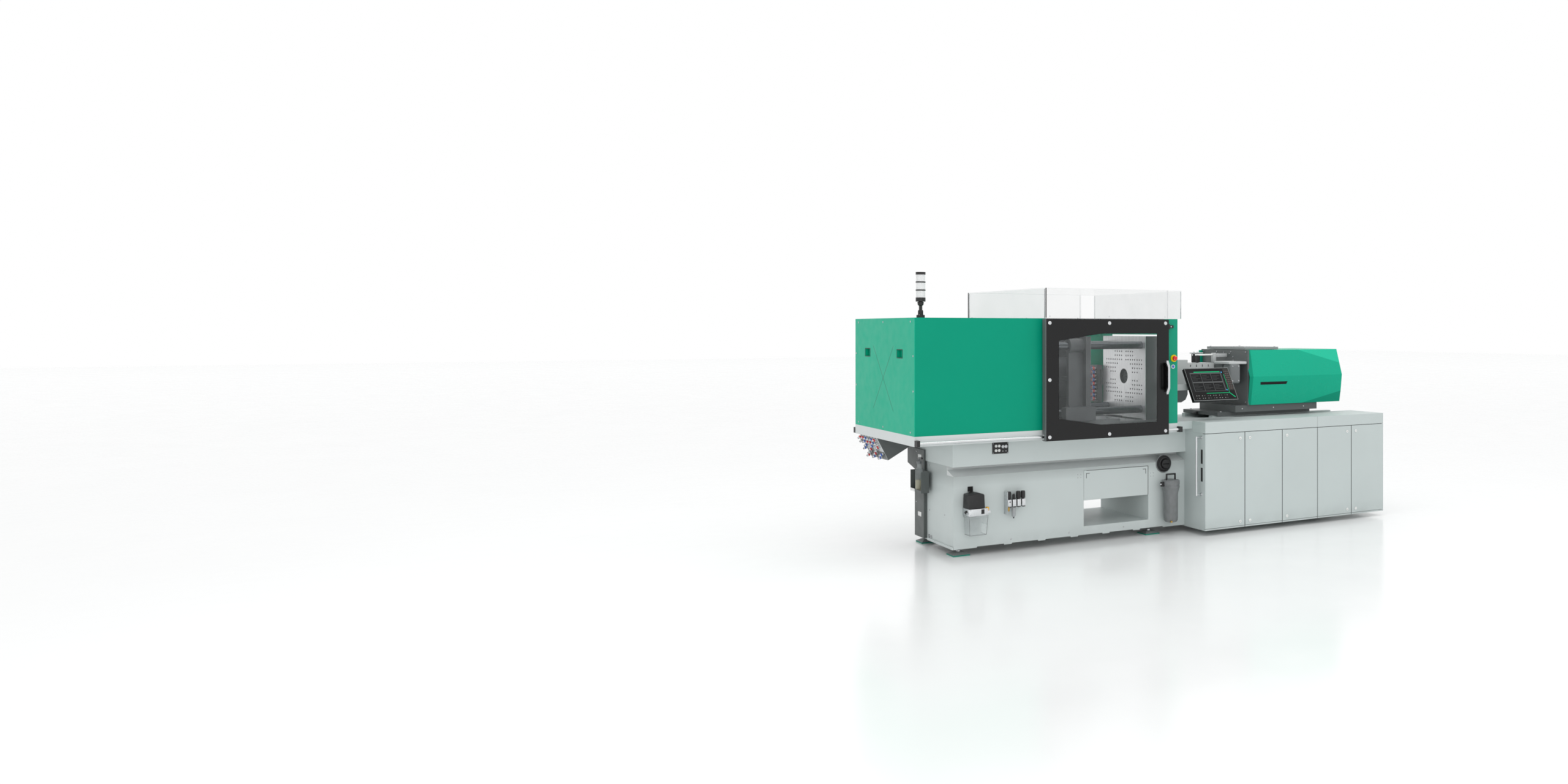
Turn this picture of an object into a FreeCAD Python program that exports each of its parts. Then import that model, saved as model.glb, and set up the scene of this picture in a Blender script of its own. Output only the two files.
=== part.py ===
import FreeCAD, Part
import math
import os
import re
import Sketcher

# Horizontal injection moulding machine with a hydraulic clamp on the left, the mould area behind
# two sliding doors, and the injection unit with its control cabinets on the right.
#
# All sizes are millimetres.  Z is up from the floor, Y runs from the operator's side (minus) to
# the rear, and every X in this file is a station measured from the left end of the clamp cover.
# The document's origin is on the floor, half way along the machine, on the clamping axis.

DIMS = {
    # whole machine
    "total_length": 4514, "axis_height": 1303, "sheet": 3, "running_gap": 0.3, "reach": 20,
    # welded base under the clamp
    "base_left": 414, "base_right": 2509, "base_front": 365, "base_rear": 400, "base_floor": 55,
    "base_shoulder": 600, "base_neck": 245, "base_neck_foot": 640, "base_top": 672, "base_wall": 6,
    "notch_height": 8, "notch_left": 604, "notch_pitch": 292, "notch_length": 226,
    # tunnel for finished parts, and the flap over it
    "tunnel_left": 1532, "tunnel_right": 2146, "tunnel_floor": 130, "tunnel_top": 335,
    "flap_top": 573, "flap_gap": 2, "flap_hook": 18,
    # levelling feet
    "foot_left": 484, "foot_middle": 2196, "foot_cabinet": 3300, "foot_right": 4150,
    "foot_front": 290, "foot_back": 330, "foot_length": 136, "foot_width": 130,
    "pad_height": 10, "foot_height": 28, "foot_chamfer": 36, "stud_radius": 12,
    "foot_bracket": 60,
    # tray on the base, and the two bed beams that carry the platens
    "tray_left": 400, "tray_front": 380, "tray_rear": 415, "tray_top": 869,
    "beam_left": 460, "beam_right": 2300, "beam_inner": 290, "beam_outer": 372, "beam_top": 950,
    "rail_left": 1090, "rail_right": 1870, "rail_inner": 345, "rail_height": 25,
    # dark end column with the bottle holder
    "column_front": 148, "column_back": 338, "column_flare": 495, "column_depth": 12,
    "column_bottom": 66, "column_top": 757, "flare_low": 590, "flare_high": 628,
    "window_wide": 84, "window_tall": 37, "window_high": 677, "window_low": 226,
    "holder_depth": 66, "holder_front": 40, "holder_back": 262, "holder_bottom": 434, "holder_top": 597,
    "bottle_radius": 30, "bottle_shoulder": 600, "bottle_neck": 16, "bottle_top": 668, "bottle_y": 165,
    "sill_depth": 10, "sill_height": 20,
    # silver cover frame and green clamp cover
    "frame_bottom": 869, "frame_top": 941, "cover_half": 636, "cover_right": 1040, "cover_top": 1783,
    "end_wall": 4, "frame_open_left": 440, "frame_open_half": 425,
    "grip_width": 110, "grip_height": 58, "grip_y": 345, "grip_bottom": 1493, "grip_depth": 30,
    # posts beside the mould area, and the wall on the injection side
    "post_left": 2120, "post_right": 2252, "post_depth": 76, "platen_window": 376, "window_top": 1656,
    # sliding doors
    "door_left": 1007, "door_right": 2120, "door_face": 706, "door_back": 656, "door_bottom": 862,
    "door_top": 1777, "door_sheet": 4, "pane": 5, "pane_lap": 22,
    "glass_left": 1120, "glass_bend": 1492, "glass_right": 2007, "glass_top": 1667, "glass_bottom": 967,
    "glass_left_top": 1615, "glass_left_bottom": 1026,
    "cup_left": 2039, "cup_right": 2112, "cup_bottom": 1218, "cup_top": 1430, "cup_depth": 34,
    "bow_left": 2078, "bow_right": 2112, "bow_bottom": 1184, "bow_top": 1451, "bow_bar": 18, "bow_bend": 46,
    "bow_stand": 30,
    # door rails and top guidance
    "door_rail_radius": 10.5, "door_rail_y": 661, "door_rail_z": 893, "door_rail_end": 2270,
    "clamp_block": 24, "clamp_half": 22, "slider_length": 60, "slider_inset": 50, "slider_top": 915,
    "lip_height": 42, "roller_station": 1057, "roller_radius": 20, "roller_low": 1722, "roller_high": 1760,
    "roller_pin": 6, "bracket_half": 15, "bracket_plate": 5,
    "top_rail_depth": 36, "top_rail_height": 43,
    # clear guard above the mould area
    "hood_left": 1010, "hood_half": 690, "hood_top": 2012, "hood_wall": 6, "hood_pane_y": 697,
    # clamp unit
    "platen_half": 340, "platen_face": 2135, "platen_thick": 140, "tie_pitch": 266, "tie_radius": 31,
    "tie_left": 870, "nut_radius": 50, "nut_length": 60, "tie_tail": 10,
    "locating_radius": 62.5, "locating_depth": 30, "nozzle_hole": 50,
    "hole_pitch": 35, "hole_radius": 7, "hole_depth": 30,
    "moving_face": 1612, "moving_plate": 45, "moving_back": 1380, "boss_radius": 170, "rib": 34,
    "sleeve_radius": 56, "sleeve_back": 1440, "shoe_left": 1340, "shoe_right": 1550, "shoe_outer": 420,
    "shoe_top": 1083, "ejector_radius": 15, "ejector_back": 1400, "ejector_tip": 1580,
    "ejector_bay_radius": 34,
    "bay_wall": 15, "seat_depth": 20, "ejector_bay_end": 1572, "ejector_collar_end": 1420,
    "cylinder_platen_left": 940, "cylinder_platen_right": 1060, "cylinder_left": 190,
    "cylinder_radius": 150, "cylinder_bore": 120, "cylinder_cap": 30,
    "rod_radius": 65, "piston_left": 520, "piston_length": 80,
    # chute under the mould, and the cooling-water manifold
    "chute_left": 1640, "chute_right": 2125, "chute_low_left": 1700, "chute_low_right": 2100,
    "chute_low_half": 170, "chute_top": 945, "chute_bottom": 655, "chute_hole_gap": 12,
    "manifold_left": 2085, "manifold_near": 352, "manifold_far": 500, "manifold_bottom": 1062,
    "manifold_top": 1387, "manifold_bracket": 45, "coupling_radius": 10, "coupling_length": 40,
    "coupling_rows": 9, "coupling_first": 30, "coupling_step": 44, "coupling_side": 28,
    # connection box below the clamp cover
    "box_front": 222, "box_back": 610, "box_left": 26, "box_low": 121, "box_right": 450, "box_bottom": 684,
    "box_gap": 2,
    "socket_radius": 13, "socket_length": 40,
    # signal tower
    "tower_station": 100, "tower_y": 500, "tower_foot": 30, "tower_stem": 12, "collar_bottom": 1900,
    "lens_bottom": 1928, "lens_radius": 33, "lens_wall": 4, "lens_height": 50, "ring_height": 8,
    "tower_top": 2112,
    # lubrication pump with its tank
    "pump_left": 486, "pump_right": 617, "pump_cap_bottom": 366, "pump_cap_top": 485, "pump_peak": 555,
    "pump_shoulder": 471, "pump_lean": 5, "pump_crown": 15, "pump_front": 485, "pump_rim": 4,
    "pump_body_right": 663, "pump_body_bottom": 313, "fitting_reach": 12, "fitting_radius": 14,
    "fitting_inset": 46, "fitting_drop": 27, "plug_station": 643, "plug_inset": 24, "plug_rise": 6,
    "tank_top_left": 488, "tank_top_right": 642, "tank_bottom": 167, "tank_taper": 10, "tank_wall": 3,
    "tank_front": 482, "tank_rear": 372,
    # compressed-air service unit
    "air_plate": 832, "air_left": 833, "air_block": 31, "air_step": 39.5, "air_bottom": 350,
    "air_top": 404, "air_front": 430, "air_rear": 394, "air_knob": 17, "air_knob_top": 463,
    "air_knob_drop": 20, "air_bowl": 16, "air_bowl_bottom": 258, "air_bracket": 10, "air_margin": 16,
    "air_plate_top": 463, "air_plate_bottom": 290,
    # return filter and filler cap
    "filter_station": 2320, "filter_y": 440, "filter_radius": 60, "filter_bottom": 105, "filter_neck": 347,
    "filter_head_bottom": 396, "filter_head_top": 455, "filter_head": 74, "filter_loop": 508,
    "loop_half": 48, "loop_bar": 12,
    "cap_station": 2297, "cap_z": 584, "cap_radius": 68, "cap_depth": 24, "cap_grip": 40,
    "cap_grip_depth": 16,
    # base and cabinets under the injection unit
    "unit_right": 4290, "unit_front": 240, "unit_floor": 45, "unit_top": 916, "unit_wall": 5,
    "step_left": 2262, "step_front": 480, "step_bottom": 872, "step_top": 936,
    "slide_rail_left": 2900, "slide_rail_inner": 180, "slide_rail_outer": 230, "slide_rail_height": 29,
    "cabinet_left": 2509, "cabinet_front": 664, "cabinet_floor": 45, "cabinet_top": 936,
    "door_line": 842, "sill": 12, "door_depth": 20, "door_joint": 3, "partition": 3723,
    "joint_one": 2920, "joint_two": 3324, "joint_four": 4123,
    "bar_y": 610, "bar_low": 332, "bar_high": 818, "bar_radius": 8, "bar_stand": 50,
    "lock_radius": 13, "lock_depth": 3, "lock_inset": 50, "lock_low": 95, "lock_high": 790,
    "motor_left": 2750, "motor_radius": 130, "motor_length": 360, "motor_z": 300, "motor_y": 80,
    "oil_left": 3300, "oil_right": 4150, "oil_half": 150, "oil_top": 620,
    # injection unit
    "sled_left": 2935, "sled_right": 3985, "sled_half": 260, "sled_top": 976,
    "carriage_left": 3075, "carriage_right": 4010, "carriage_half": 330, "carriage_corner": 200,
    "carriage_cut": 3200, "carriage_top": 1034, "shield_left": 3200, "shield_thick": 16, "shield_half": 345,
    "hull_right": 4285, "hull_top": 1518, "hull_bottom": 1036, "hull_top_half": 300, "hull_mid_half": 370,
    "hull_low_half": 348, "hull_mid": 1285, "slot_left": 3328, "slot_right": 3635, "slot_low": 1212,
    "slot_high": 1236,
    "gear_left": 3010, "gear_front": 230, "gear_back": 110, "gear_low": 1222, "gear_high": 1390,
    "barrel_left": 2330, "barrel_right": 3620, "barrel_radius": 45, "band_radius": 54, "band_length": 90,
    "band_first": 2400, "band_step": 150, "nozzle_radius": 24, "nozzle_tip": 2178,
    "nozzle_cone": 40, "nozzle_point": 10, "screw_bore": 20.3, "screw_radius": 20, "screw_core": 14,
    "screw_left": 2360, "screw_right": 3640, "flight_width": 6, "flight_pitch": 40, 
    "feed_station": 3400, "feed_radius": 40, "feed_wall": 8, "feed_left": 3217, "feed_right": 3598,
    "feed_half": 280, "feed_low": 1520, "feed_high": 1543, "feed_hole": 5.5, "feed_pitch": 140,
    "saddle_left": 3250, "saddle_right": 3580, "saddle_half": 120,
    "drive_left": 3640, "drive_right": 4200, "drive_half": 140, "drive_wall": 80, "drive_bore": 80,
    "drive_bore_right": 4120, "shaft_radius": 30, "disc_left": 3800, "disc_length": 60,
    "guard_left": 2680, "guard_half": 110, "guard_low": 1200, "guard_high": 1405,
    "vent_start": 70, "vent_step": 64, "vent_width": 8, "vent_low": 34, "vent_high": 14,
    "nozzle_guard_right": 2660, "nozzle_guard_gap": 16,
    "nozzle_guard_low": 1073, "nozzle_guard_high": 1437, "nozzle_guard_wall": 5, "guard_round": 66,
    # control panel on its arm
    "panel_left": 2474, "panel_right": 2930, "panel_foot_y": 560, "panel_foot_z": 1107,
    "panel_head_y": 410, "panel_head_z": 1371, "panel_thick_y": 28, "panel_thick_z": 16,
    "arm_station": 2310, "arm_y": 405, "arm_z": 1215, "arm_half": 20, "arm_height": 50, "arm_tip": 2700,
    "pin_radius": 10, "lug": 6, "spindle_radius": 12, "spindle_end": 2800, "knuckle_left": 2710,
    "knuckle_right": 2790, "knuckle_half": 18,
    # push buttons on the post
    "stop_station": 2211, "stop_z": 1466, "stop_collar": 29, "stop_collar_depth": 12, "stop_stem": 11,
    "stop_head": 20, "stop_head_depth": 18, "stop_travel": 6,
    "start_station": 2206, "start_z": 1399, "start_ring": 17, "start_ring_depth": 5, "start_radius": 11,
    "start_stand": 4,
}

os.makedirs("parts", exist_ok=True)
doc = FreeCAD.newDocument("injection_moulding_machine")
sheet = doc.addObject("Spreadsheet::Sheet", "dims")
for row, (alias, size) in enumerate(DIMS.items(), start=1):
    sheet.set(f"A{row}", alias)
    sheet.set(f"B{row}", str(size))
    sheet.setAlias(f"B{row}", alias)
doc.recompute()

WORD = re.compile(r"[a-z_]{3,}")
HALF_LENGTH = "total_length / 2"
NODES = []


def bind(expression):
    """Point each dimension name in an expression at its cell in the sheet."""
    return WORD.sub(lambda word: "dims." + word.group() if word.group() in DIMS else word.group(), expression)


def number(expression):
    return float(sheet.evalExpression(bind(expression)))


def place(piece, x, y, z):
    """Tie a piece's position to the sheet; x is a station from the left end."""
    piece.setExpression("Placement.Base.x", bind(f"({x}) - {HALF_LENGTH}"))
    piece.setExpression("Placement.Base.y", bind(y))
    piece.setExpression("Placement.Base.z", bind(z))
    return piece


def box(x_low, x_high, y_low, y_high, z_low, z_high):
    block = doc.addObject("Part::Box", "block")
    for side, low, high in (("Length", x_low, x_high), ("Width", y_low, y_high), ("Height", z_low, z_high)):
        block.setExpression(side, bind(f"({high}) - ({low})"))
    return place(block, x_low, y_low, z_low)


TURNS = {
    "X": FreeCAD.Rotation(FreeCAD.Vector(0, 1, 0), 90),
    "Y": FreeCAD.Rotation(FreeCAD.Vector(1, 0, 0), -90),
    "Z": FreeCAD.Rotation(),
}


def starts(axis, low, first, second):
    """Start point of a round piece: its low end on the axis, and its two other coordinates."""
    if axis == "X":
        return low, first, second
    if axis == "Y":
        return first, low, second
    return first, second, low


def rod(axis, low, high, first, second, radius):
    piece = doc.addObject("Part::Cylinder", "rod")
    piece.setExpression("Radius", bind(radius))
    piece.setExpression("Height", bind(f"({high}) - ({low})"))
    piece.Placement = FreeCAD.Placement(FreeCAD.Vector(), TURNS[axis])
    return place(piece, *starts(axis, low, first, second))


def cone(axis, low, high, first, second, low_radius, high_radius):
    piece = doc.addObject("Part::Cone", "cone")
    piece.setExpression("Radius1", bind(low_radius))
    piece.setExpression("Radius2", bind(high_radius))
    piece.setExpression("Height", bind(f"({high}) - ({low})"))
    piece.Placement = FreeCAD.Placement(FreeCAD.Vector(), TURNS[axis])
    return place(piece, *starts(axis, low, first, second))


def prism(plane, outline, low, high):
    """Pad of a closed outline: XZ outlines are (station, z), YZ ones (y, z), XY ones (station, y)."""
    body = doc.addObject("PartDesign::Body", "prism")
    sketch = body.newObject("Sketcher::SketchObject", "outline")
    origin_plane = [item for item in body.Origin.OriginFeatures if item.Role == plane + "_Plane"][0]
    sketch.AttachmentSupport = (origin_plane, [""])
    sketch.MapMode = "FlatFace"
    corners = [(number(first), number(second)) for first, second in outline]
    count = len(corners)
    for index in range(count):
        start = FreeCAD.Vector(*corners[index], 0)
        end = FreeCAD.Vector(*corners[(index + 1) % count], 0)
        sketch.addGeometry(Part.LineSegment(start, end))
    for index in range(count):
        sketch.addConstraint(Sketcher.Constraint("Coincident", index, 2, (index + 1) % count, 1))
    for index, pair in enumerate(outline):
        for kind, expression, value in zip(("DistanceX", "DistanceY"), pair, corners[index]):
            slot = sketch.addConstraint(Sketcher.Constraint(kind, -1, 1, index, 1, value))
            sketch.setExpression(f"Constraints[{slot}]", bind(expression))
    pad = body.newObject("PartDesign::Pad", "pad")
    pad.Profile = sketch
    pad.setExpression("Length", bind(f"({high}) - ({low})"))
    if plane == "YZ":
        return place(body, low, "0", "0")
    if plane == "XZ":
        return place(body, "0", high, "0")
    return place(body, "0", "0", low)


def frustum(low_box, high_box):
    """Four-sided taper between two rectangles (x_low, x_high, y_low, y_high, z)."""
    piece = doc.addObject("Part::Wedge", "taper")
    x_low, x_high, y_low, y_high, z_low = low_box
    top_x_low, top_x_high, top_y_low, top_y_high, z_high = high_box
    sizes = {
        "Xmin": "0", "Xmax": f"({x_high}) - ({x_low})",
        "X2min": f"({top_x_low}) - ({x_low})", "X2max": f"({top_x_high}) - ({x_low})",
        "Zmin": f"({y_low}) - ({y_high})", "Zmax": "0",
        "Z2min": f"({y_low}) - ({top_y_high})", "Z2max": f"({y_low}) - ({top_y_low})",
        "Ymin": "0", "Ymax": f"({z_high}) - ({z_low})",
    }
    for name, expression in sizes.items():
        piece.setExpression(name, bind(expression))
    piece.Placement = FreeCAD.Placement(FreeCAD.Vector(), FreeCAD.Rotation(FreeCAD.Vector(1, 0, 0), 90))
    return place(piece, x_low, y_low, z_low)


def fuse(*pieces):
    if len(pieces) == 1:
        return pieces[0]
    joined = doc.addObject("Part::MultiFuse", "joined")
    joined.Shapes = list(pieces)
    return joined


def cut(base, *tools):
    result = doc.addObject("Part::Cut", "trimmed")
    result.Base = base
    result.Tool = fuse(*tools)
    return result


def group(*pieces):
    """Several loose solids that share one node."""
    together = doc.addObject("Part::Compound", "group")
    together.Links = list(pieces)
    return together


def node(name, piece):
    piece.Label = name
    NODES.append(piece)


def span(side, near, far):
    """Y range of something between two distances from the centre plane, on one side of it."""
    if side == "rear":
        return near, far
    return f"-({far})", f"-({near})"


def across(side, distance):
    return distance if side == "rear" else f"-({distance})"


SIDES = ("front", "rear")


# --- base -------------------------------------------------------------------------------------

def base_profile():
    return [
        ("-base_front", "base_floor"), ("base_rear", "base_floor"), ("base_rear", "base_shoulder"),
        ("base_neck", "base_neck_foot"), ("base_neck", "base_top"), ("-base_neck", "base_top"),
        ("-base_neck", "base_neck_foot"), ("-base_front", "base_shoulder"),
    ]


def drop_hole():
    return box("chute_low_left - chute_hole_gap", "chute_low_right + chute_hole_gap",
               "-chute_low_half - chute_hole_gap", "chute_low_half + chute_hole_gap",
               "tunnel_top - reach", "base_top + reach")


def base_frame():
    """Welded plates: two ends, front and rear with the tunnel's mouths, the folded top, foot brackets."""
    left, right = "base_left + base_wall", "base_right - base_wall"
    ends = [prism("YZ", base_profile(), "base_left", left), prism("YZ", base_profile(), right, "base_right")]
    mouth = box("tunnel_left", "tunnel_right", "-base_front - reach", "base_rear + reach", "tunnel_floor",
                "tunnel_top")
    flap_window = box("tunnel_left", "tunnel_right", "-base_front - reach", "0", "tunnel_floor",
                      "flap_top + flap_gap")
    notches = []
    for index in range(6):
        start = f"notch_left + {index} * notch_pitch"
        notches.append(box(start, f"{start} + notch_length", "-base_front - reach", "0",
                           "base_floor - reach", "base_floor + notch_height"))
    front = cut(box(left, right, "-base_front", "-base_front + base_wall", "base_floor", "base_shoulder"),
                mouth, flap_window, *notches)
    rear = cut(box(left, right, "base_rear - base_wall", "base_rear", "base_floor", "base_shoulder"), mouth)
    top = prism("YZ", [
        ("-base_front", "base_shoulder"), ("-base_front + base_wall", "base_shoulder"),
        ("-base_neck + base_wall", "base_neck_foot"), ("-base_neck + base_wall", "base_top - base_wall"),
        ("base_neck - base_wall", "base_top - base_wall"), ("base_neck - base_wall", "base_neck_foot"),
        ("base_rear - base_wall", "base_shoulder"), ("base_rear", "base_shoulder"),
        ("base_neck", "base_neck_foot"), ("base_neck", "base_top"),
        ("-base_neck", "base_top"), ("-base_neck", "base_neck_foot"),
    ], left, right)
    brackets = []
    for station in ("foot_left", "foot_middle"):
        for low, high in (("-base_front + base_wall", "-foot_front + foot_bracket"),
                          ("foot_back - foot_bracket", "base_rear - base_wall")):
            brackets.append(box(f"{station} - foot_bracket", f"{station} + foot_bracket", low, high,
                                "base_floor + notch_height", "base_floor + notch_height + base_wall"))
    sill = box("base_left - sill_depth", "base_left", "-base_front", "column_front - reach", "base_floor",
               "base_floor + sill_height")
    node("base_frame", group(*ends, sill, front, rear, cut(top, drop_hole()), *brackets))


def parts_tunnel():
    """Floor, ceiling and side walls of the tunnel through the base."""
    low, high = "-base_front + base_wall", "base_rear - base_wall"
    outer_left, outer_right = "tunnel_left - base_wall", "tunnel_right + base_wall"
    floor = box(outer_left, outer_right, low, high, "tunnel_floor - base_wall", "tunnel_floor")
    ceiling = cut(box(outer_left, outer_right, low, high, "tunnel_top", "tunnel_top + base_wall"),
                  drop_hole())
    walls = [box(start, end, low, high, "tunnel_floor", "tunnel_top")
             for start, end in ((outer_left, "tunnel_left"), ("tunnel_right", outer_right))]
    node("parts_tunnel", group(floor, ceiling, *walls))


def chute_flap():
    plate = box("tunnel_left + flap_gap", "tunnel_right - flap_gap", "-base_front",
                "-base_front + base_wall", "tunnel_top + flap_gap", "flap_top")
    hooks = []
    for edge in ("tunnel_left + reach", "tunnel_right - reach - flap_hook"):
        back = "-base_front + base_wall + flap_hook"
        hooks.append(box(edge, f"{edge} + flap_hook", "-base_front + base_wall - 1", back,
                         "flap_top - flap_hook", "flap_top - flap_gap"))
        hooks.append(box(edge, f"{edge} + flap_hook", "-base_front + base_wall + running_gap", back,
                         "flap_top - flap_hook", "flap_top + flap_hook"))
    node("chute_flap", fuse(plate, *hooks))


def foot_places():
    """Station, Y and ceiling of each foot: four under the clamp's base, four under the injection unit's."""
    places = []
    for stations, front, ceiling in (
            (("foot_left", "foot_middle"), "-foot_front", "base_floor + notch_height"),
            (("foot_cabinet", "foot_right"), "-unit_front + foot_width", "unit_floor")):
        for station in stations:
            places += [(station, front, ceiling), (station, "foot_back", ceiling)]
    return places


def levelling_feet():
    plates, pads = [], []
    for station, centre, ceiling in foot_places():
        low = (f"{station} - foot_length / 2", f"{station} + foot_length / 2",
               f"{centre} - foot_width / 2", f"{centre} + foot_width / 2", "pad_height")
        high = (f"{station} - foot_length / 2 + foot_chamfer", f"{station} + foot_length / 2 - foot_chamfer",
                f"{centre} - foot_width / 2 + foot_chamfer", f"{centre} + foot_width / 2 - foot_chamfer",
                "foot_height")
        stud = rod("Z", "foot_height - 1", ceiling, station, centre, "stud_radius")
        plates.append(fuse(frustum(low, high), stud))
        pads.append(box(low[0], low[1], low[2], low[3], "0", "pad_height"))
    node("levelling_feet", group(*plates))
    node("foot_pads", group(*pads))


def bed_tray():
    floor = cut(box("tray_left", "base_right", "-tray_front", "tray_rear", "base_top", "base_top + sheet"),
                drop_hole())
    walls = [
        box("tray_left", "base_right", "-tray_front", "-tray_front + sheet", "base_top + sheet", "tray_top"),
        box("tray_left", "base_right", "tray_rear - sheet", "tray_rear", "base_top + sheet", "tray_top"),
        box("tray_left", "tray_left + sheet", "-tray_front + sheet", "tray_rear - sheet",
            "base_top + sheet", "tray_top"),
        box("base_right - sheet", "base_right", "-tray_front + sheet", "tray_rear - sheet",
            "base_top + sheet", "tray_top"),
    ]
    node("bed_tray", group(floor, *walls))


def end_column():
    outline = [
        ("column_front", "column_bottom"), ("column_back", "column_bottom"), ("column_back", "flare_low"),
        ("column_flare", "flare_high"), ("column_flare", "column_top"), ("column_front", "column_top"),
    ]
    plate = prism("YZ", outline, "tray_left - column_depth - sheet", "tray_left - sheet")
    middle = "(column_front + column_back) / 2"
    windows = [
        box("tray_left - column_depth - reach", "tray_left + reach", f"{middle} - window_wide / 2",
            f"{middle} + window_wide / 2", low, f"{low} + window_tall")
        for low in ("window_high", "window_low")
    ]
    left = "tray_left - column_depth - sheet"
    spacer = box(left + " + column_depth - 1", "base_left", "column_front + sheet", "column_back - sheet",
                 "column_bottom", "base_shoulder")
    tray = box(f"{left} - holder_depth", left, "holder_front", "holder_back", "holder_bottom", "holder_top")
    pocket = box(f"{left} - holder_depth - reach", f"{left} - sheet", "holder_front + sheet",
                 "holder_back - sheet", "holder_bottom + sheet", "holder_top + reach")
    lip = box(f"{left} - holder_depth", f"{left} - holder_depth + sheet", "holder_front", "holder_back",
              "holder_bottom", "holder_bottom + reach")
    node("end_column", fuse(cut(fuse(plate, spacer), *windows), cut(tray, pocket), lip))


def oil_bottle():
    centre = "tray_left - column_depth - sheet - holder_depth / 2"
    shell = fuse(
        rod("Z", "holder_bottom + sheet", "bottle_shoulder", centre, "bottle_y", "bottle_radius"),
        cone("Z", "bottle_shoulder", "bottle_shoulder + reach", centre, "bottle_y", "bottle_radius",
             "bottle_neck"),
        rod("Z", "bottle_shoulder + reach", "bottle_top", centre, "bottle_y", "bottle_neck"))
    node("oil_bottle", shell)


# --- clamp unit -------------------------------------------------------------------------------

def clamp_bed():
    pieces = []
    for side in SIDES:
        low, high = span(side, "beam_inner", "beam_outer")
        pieces.append(box("beam_left", "beam_right", low, high, "base_top + sheet", "beam_top"))
        low, high = span(side, "rail_inner", "beam_outer - 1")
        pieces.append(box("rail_left", "rail_right", low, high, "beam_top - 1", "beam_top + rail_height"))
    ties = [
        box(f"{station}", f"{station} + beam_outer - beam_inner", "-beam_inner - 1", "beam_inner + 1",
            "base_top + sheet", "tray_top")
        for station in ("beam_left", "cylinder_platen_right", "platen_face + nut_length")
    ]
    node("clamp_bed", fuse(*pieces, *ties))


def tie_points():
    return [(f"{y_sign}tie_pitch", f"axis_height {z_sign} tie_pitch") for y_sign in ("-", "")
            for z_sign in ("-", "+")]


def platen_feet(low, high):
    return [
        box(low, high, *span(side, "beam_inner", "platen_half"), "beam_top", "axis_height - platen_half + 1")
        for side in SIDES
    ]


def mould_holes(face, side):
    """Blind tapped holes for mould clamps: rows on a fixed pitch above and below the axis."""
    columns = {6: range(1, 5), 5: range(1, 5), 4: range(1, 9), 3: range(3, 9), 2: range(4, 9), 1: range(4, 7)}
    low, high = (face, f"{face} + hole_depth") if side == "fixed" else (f"{face} - hole_depth", face)
    holes = []
    for row, steps in columns.items():
        for step in steps:
            for y_sign in ("-", ""):
                for z_sign in ("-", "+"):
                    holes.append(rod("X", low, high, f"{y_sign}{step} * hole_pitch",
                                     f"axis_height {z_sign} {row} * hole_pitch", "hole_radius"))
    return holes


def fixed_platen():
    back = "platen_face + platen_thick"
    block = box("platen_face", back, "-platen_half", "platen_half",
                "axis_height - platen_half", "axis_height + platen_half")
    bores = [rod("X", "platen_face - 1", f"{back} + 1", y, z, "tie_radius + running_gap")
             for y, z in tie_points()]
    centre = [
        rod("X", "platen_face - 1", "platen_face + locating_depth", "0", "axis_height", "locating_radius"),
        rod("X", "platen_face", f"{back} + 1", "0", "axis_height", "nozzle_hole"),
    ]
    body = cut(fuse(block, *platen_feet("platen_face", back)), *bores, *centre)
    node("fixed_platen", cut(body, *mould_holes("platen_face", "fixed")))


def cylinder_platen():
    low, high = "cylinder_platen_left", "cylinder_platen_right"
    block = box(low, high, "-platen_half", "platen_half", "axis_height - platen_half",
                "axis_height + platen_half")
    bores = [rod("X", f"{low} - 1", f"{high} + 1", y, z, "tie_radius + running_gap") for y, z in tie_points()]
    gland = rod("X", f"{low} - 1", f"{high} + 1", "0", "axis_height", "rod_radius + running_gap")
    node("cylinder_platen", cut(fuse(block, *platen_feet(low, high)), *bores, gland))


def clamp_cylinder():
    barrel = rod("X", "cylinder_left", "cylinder_platen_left", "0", "axis_height", "cylinder_radius")
    bore = rod("X", "cylinder_left + cylinder_cap", "cylinder_platen_left + 1", "0", "axis_height",
               "cylinder_bore + running_gap")
    node("clamp_cylinder", cut(barrel, bore))


def clamp_piston():
    disc = rod("X", "piston_left", "piston_left + piston_length", "0", "axis_height", "cylinder_bore")
    shaft = rod("X", "piston_left + piston_length - 1", "moving_back", "0", "axis_height", "rod_radius")
    node("clamp_piston", fuse(disc, shaft))


def tie_bars():
    right = "platen_face + platen_thick + nut_length + tie_tail"
    bars = [rod("X", "tie_left", right, y, z, "tie_radius") for y, z in tie_points()]
    nuts = []
    for low in ("cylinder_platen_left - nut_length", "platen_face + platen_thick"):
        for y, z in tie_points():
            ring = rod("X", low, f"{low} + nut_length", y, z, "nut_radius")
            nuts.append(cut(ring, rod("X", f"{low} - 1", f"{low} + nut_length + 1", y, z,
                                      "tie_radius + running_gap")))
    node("tie_bars", group(*bars, *nuts))


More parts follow.
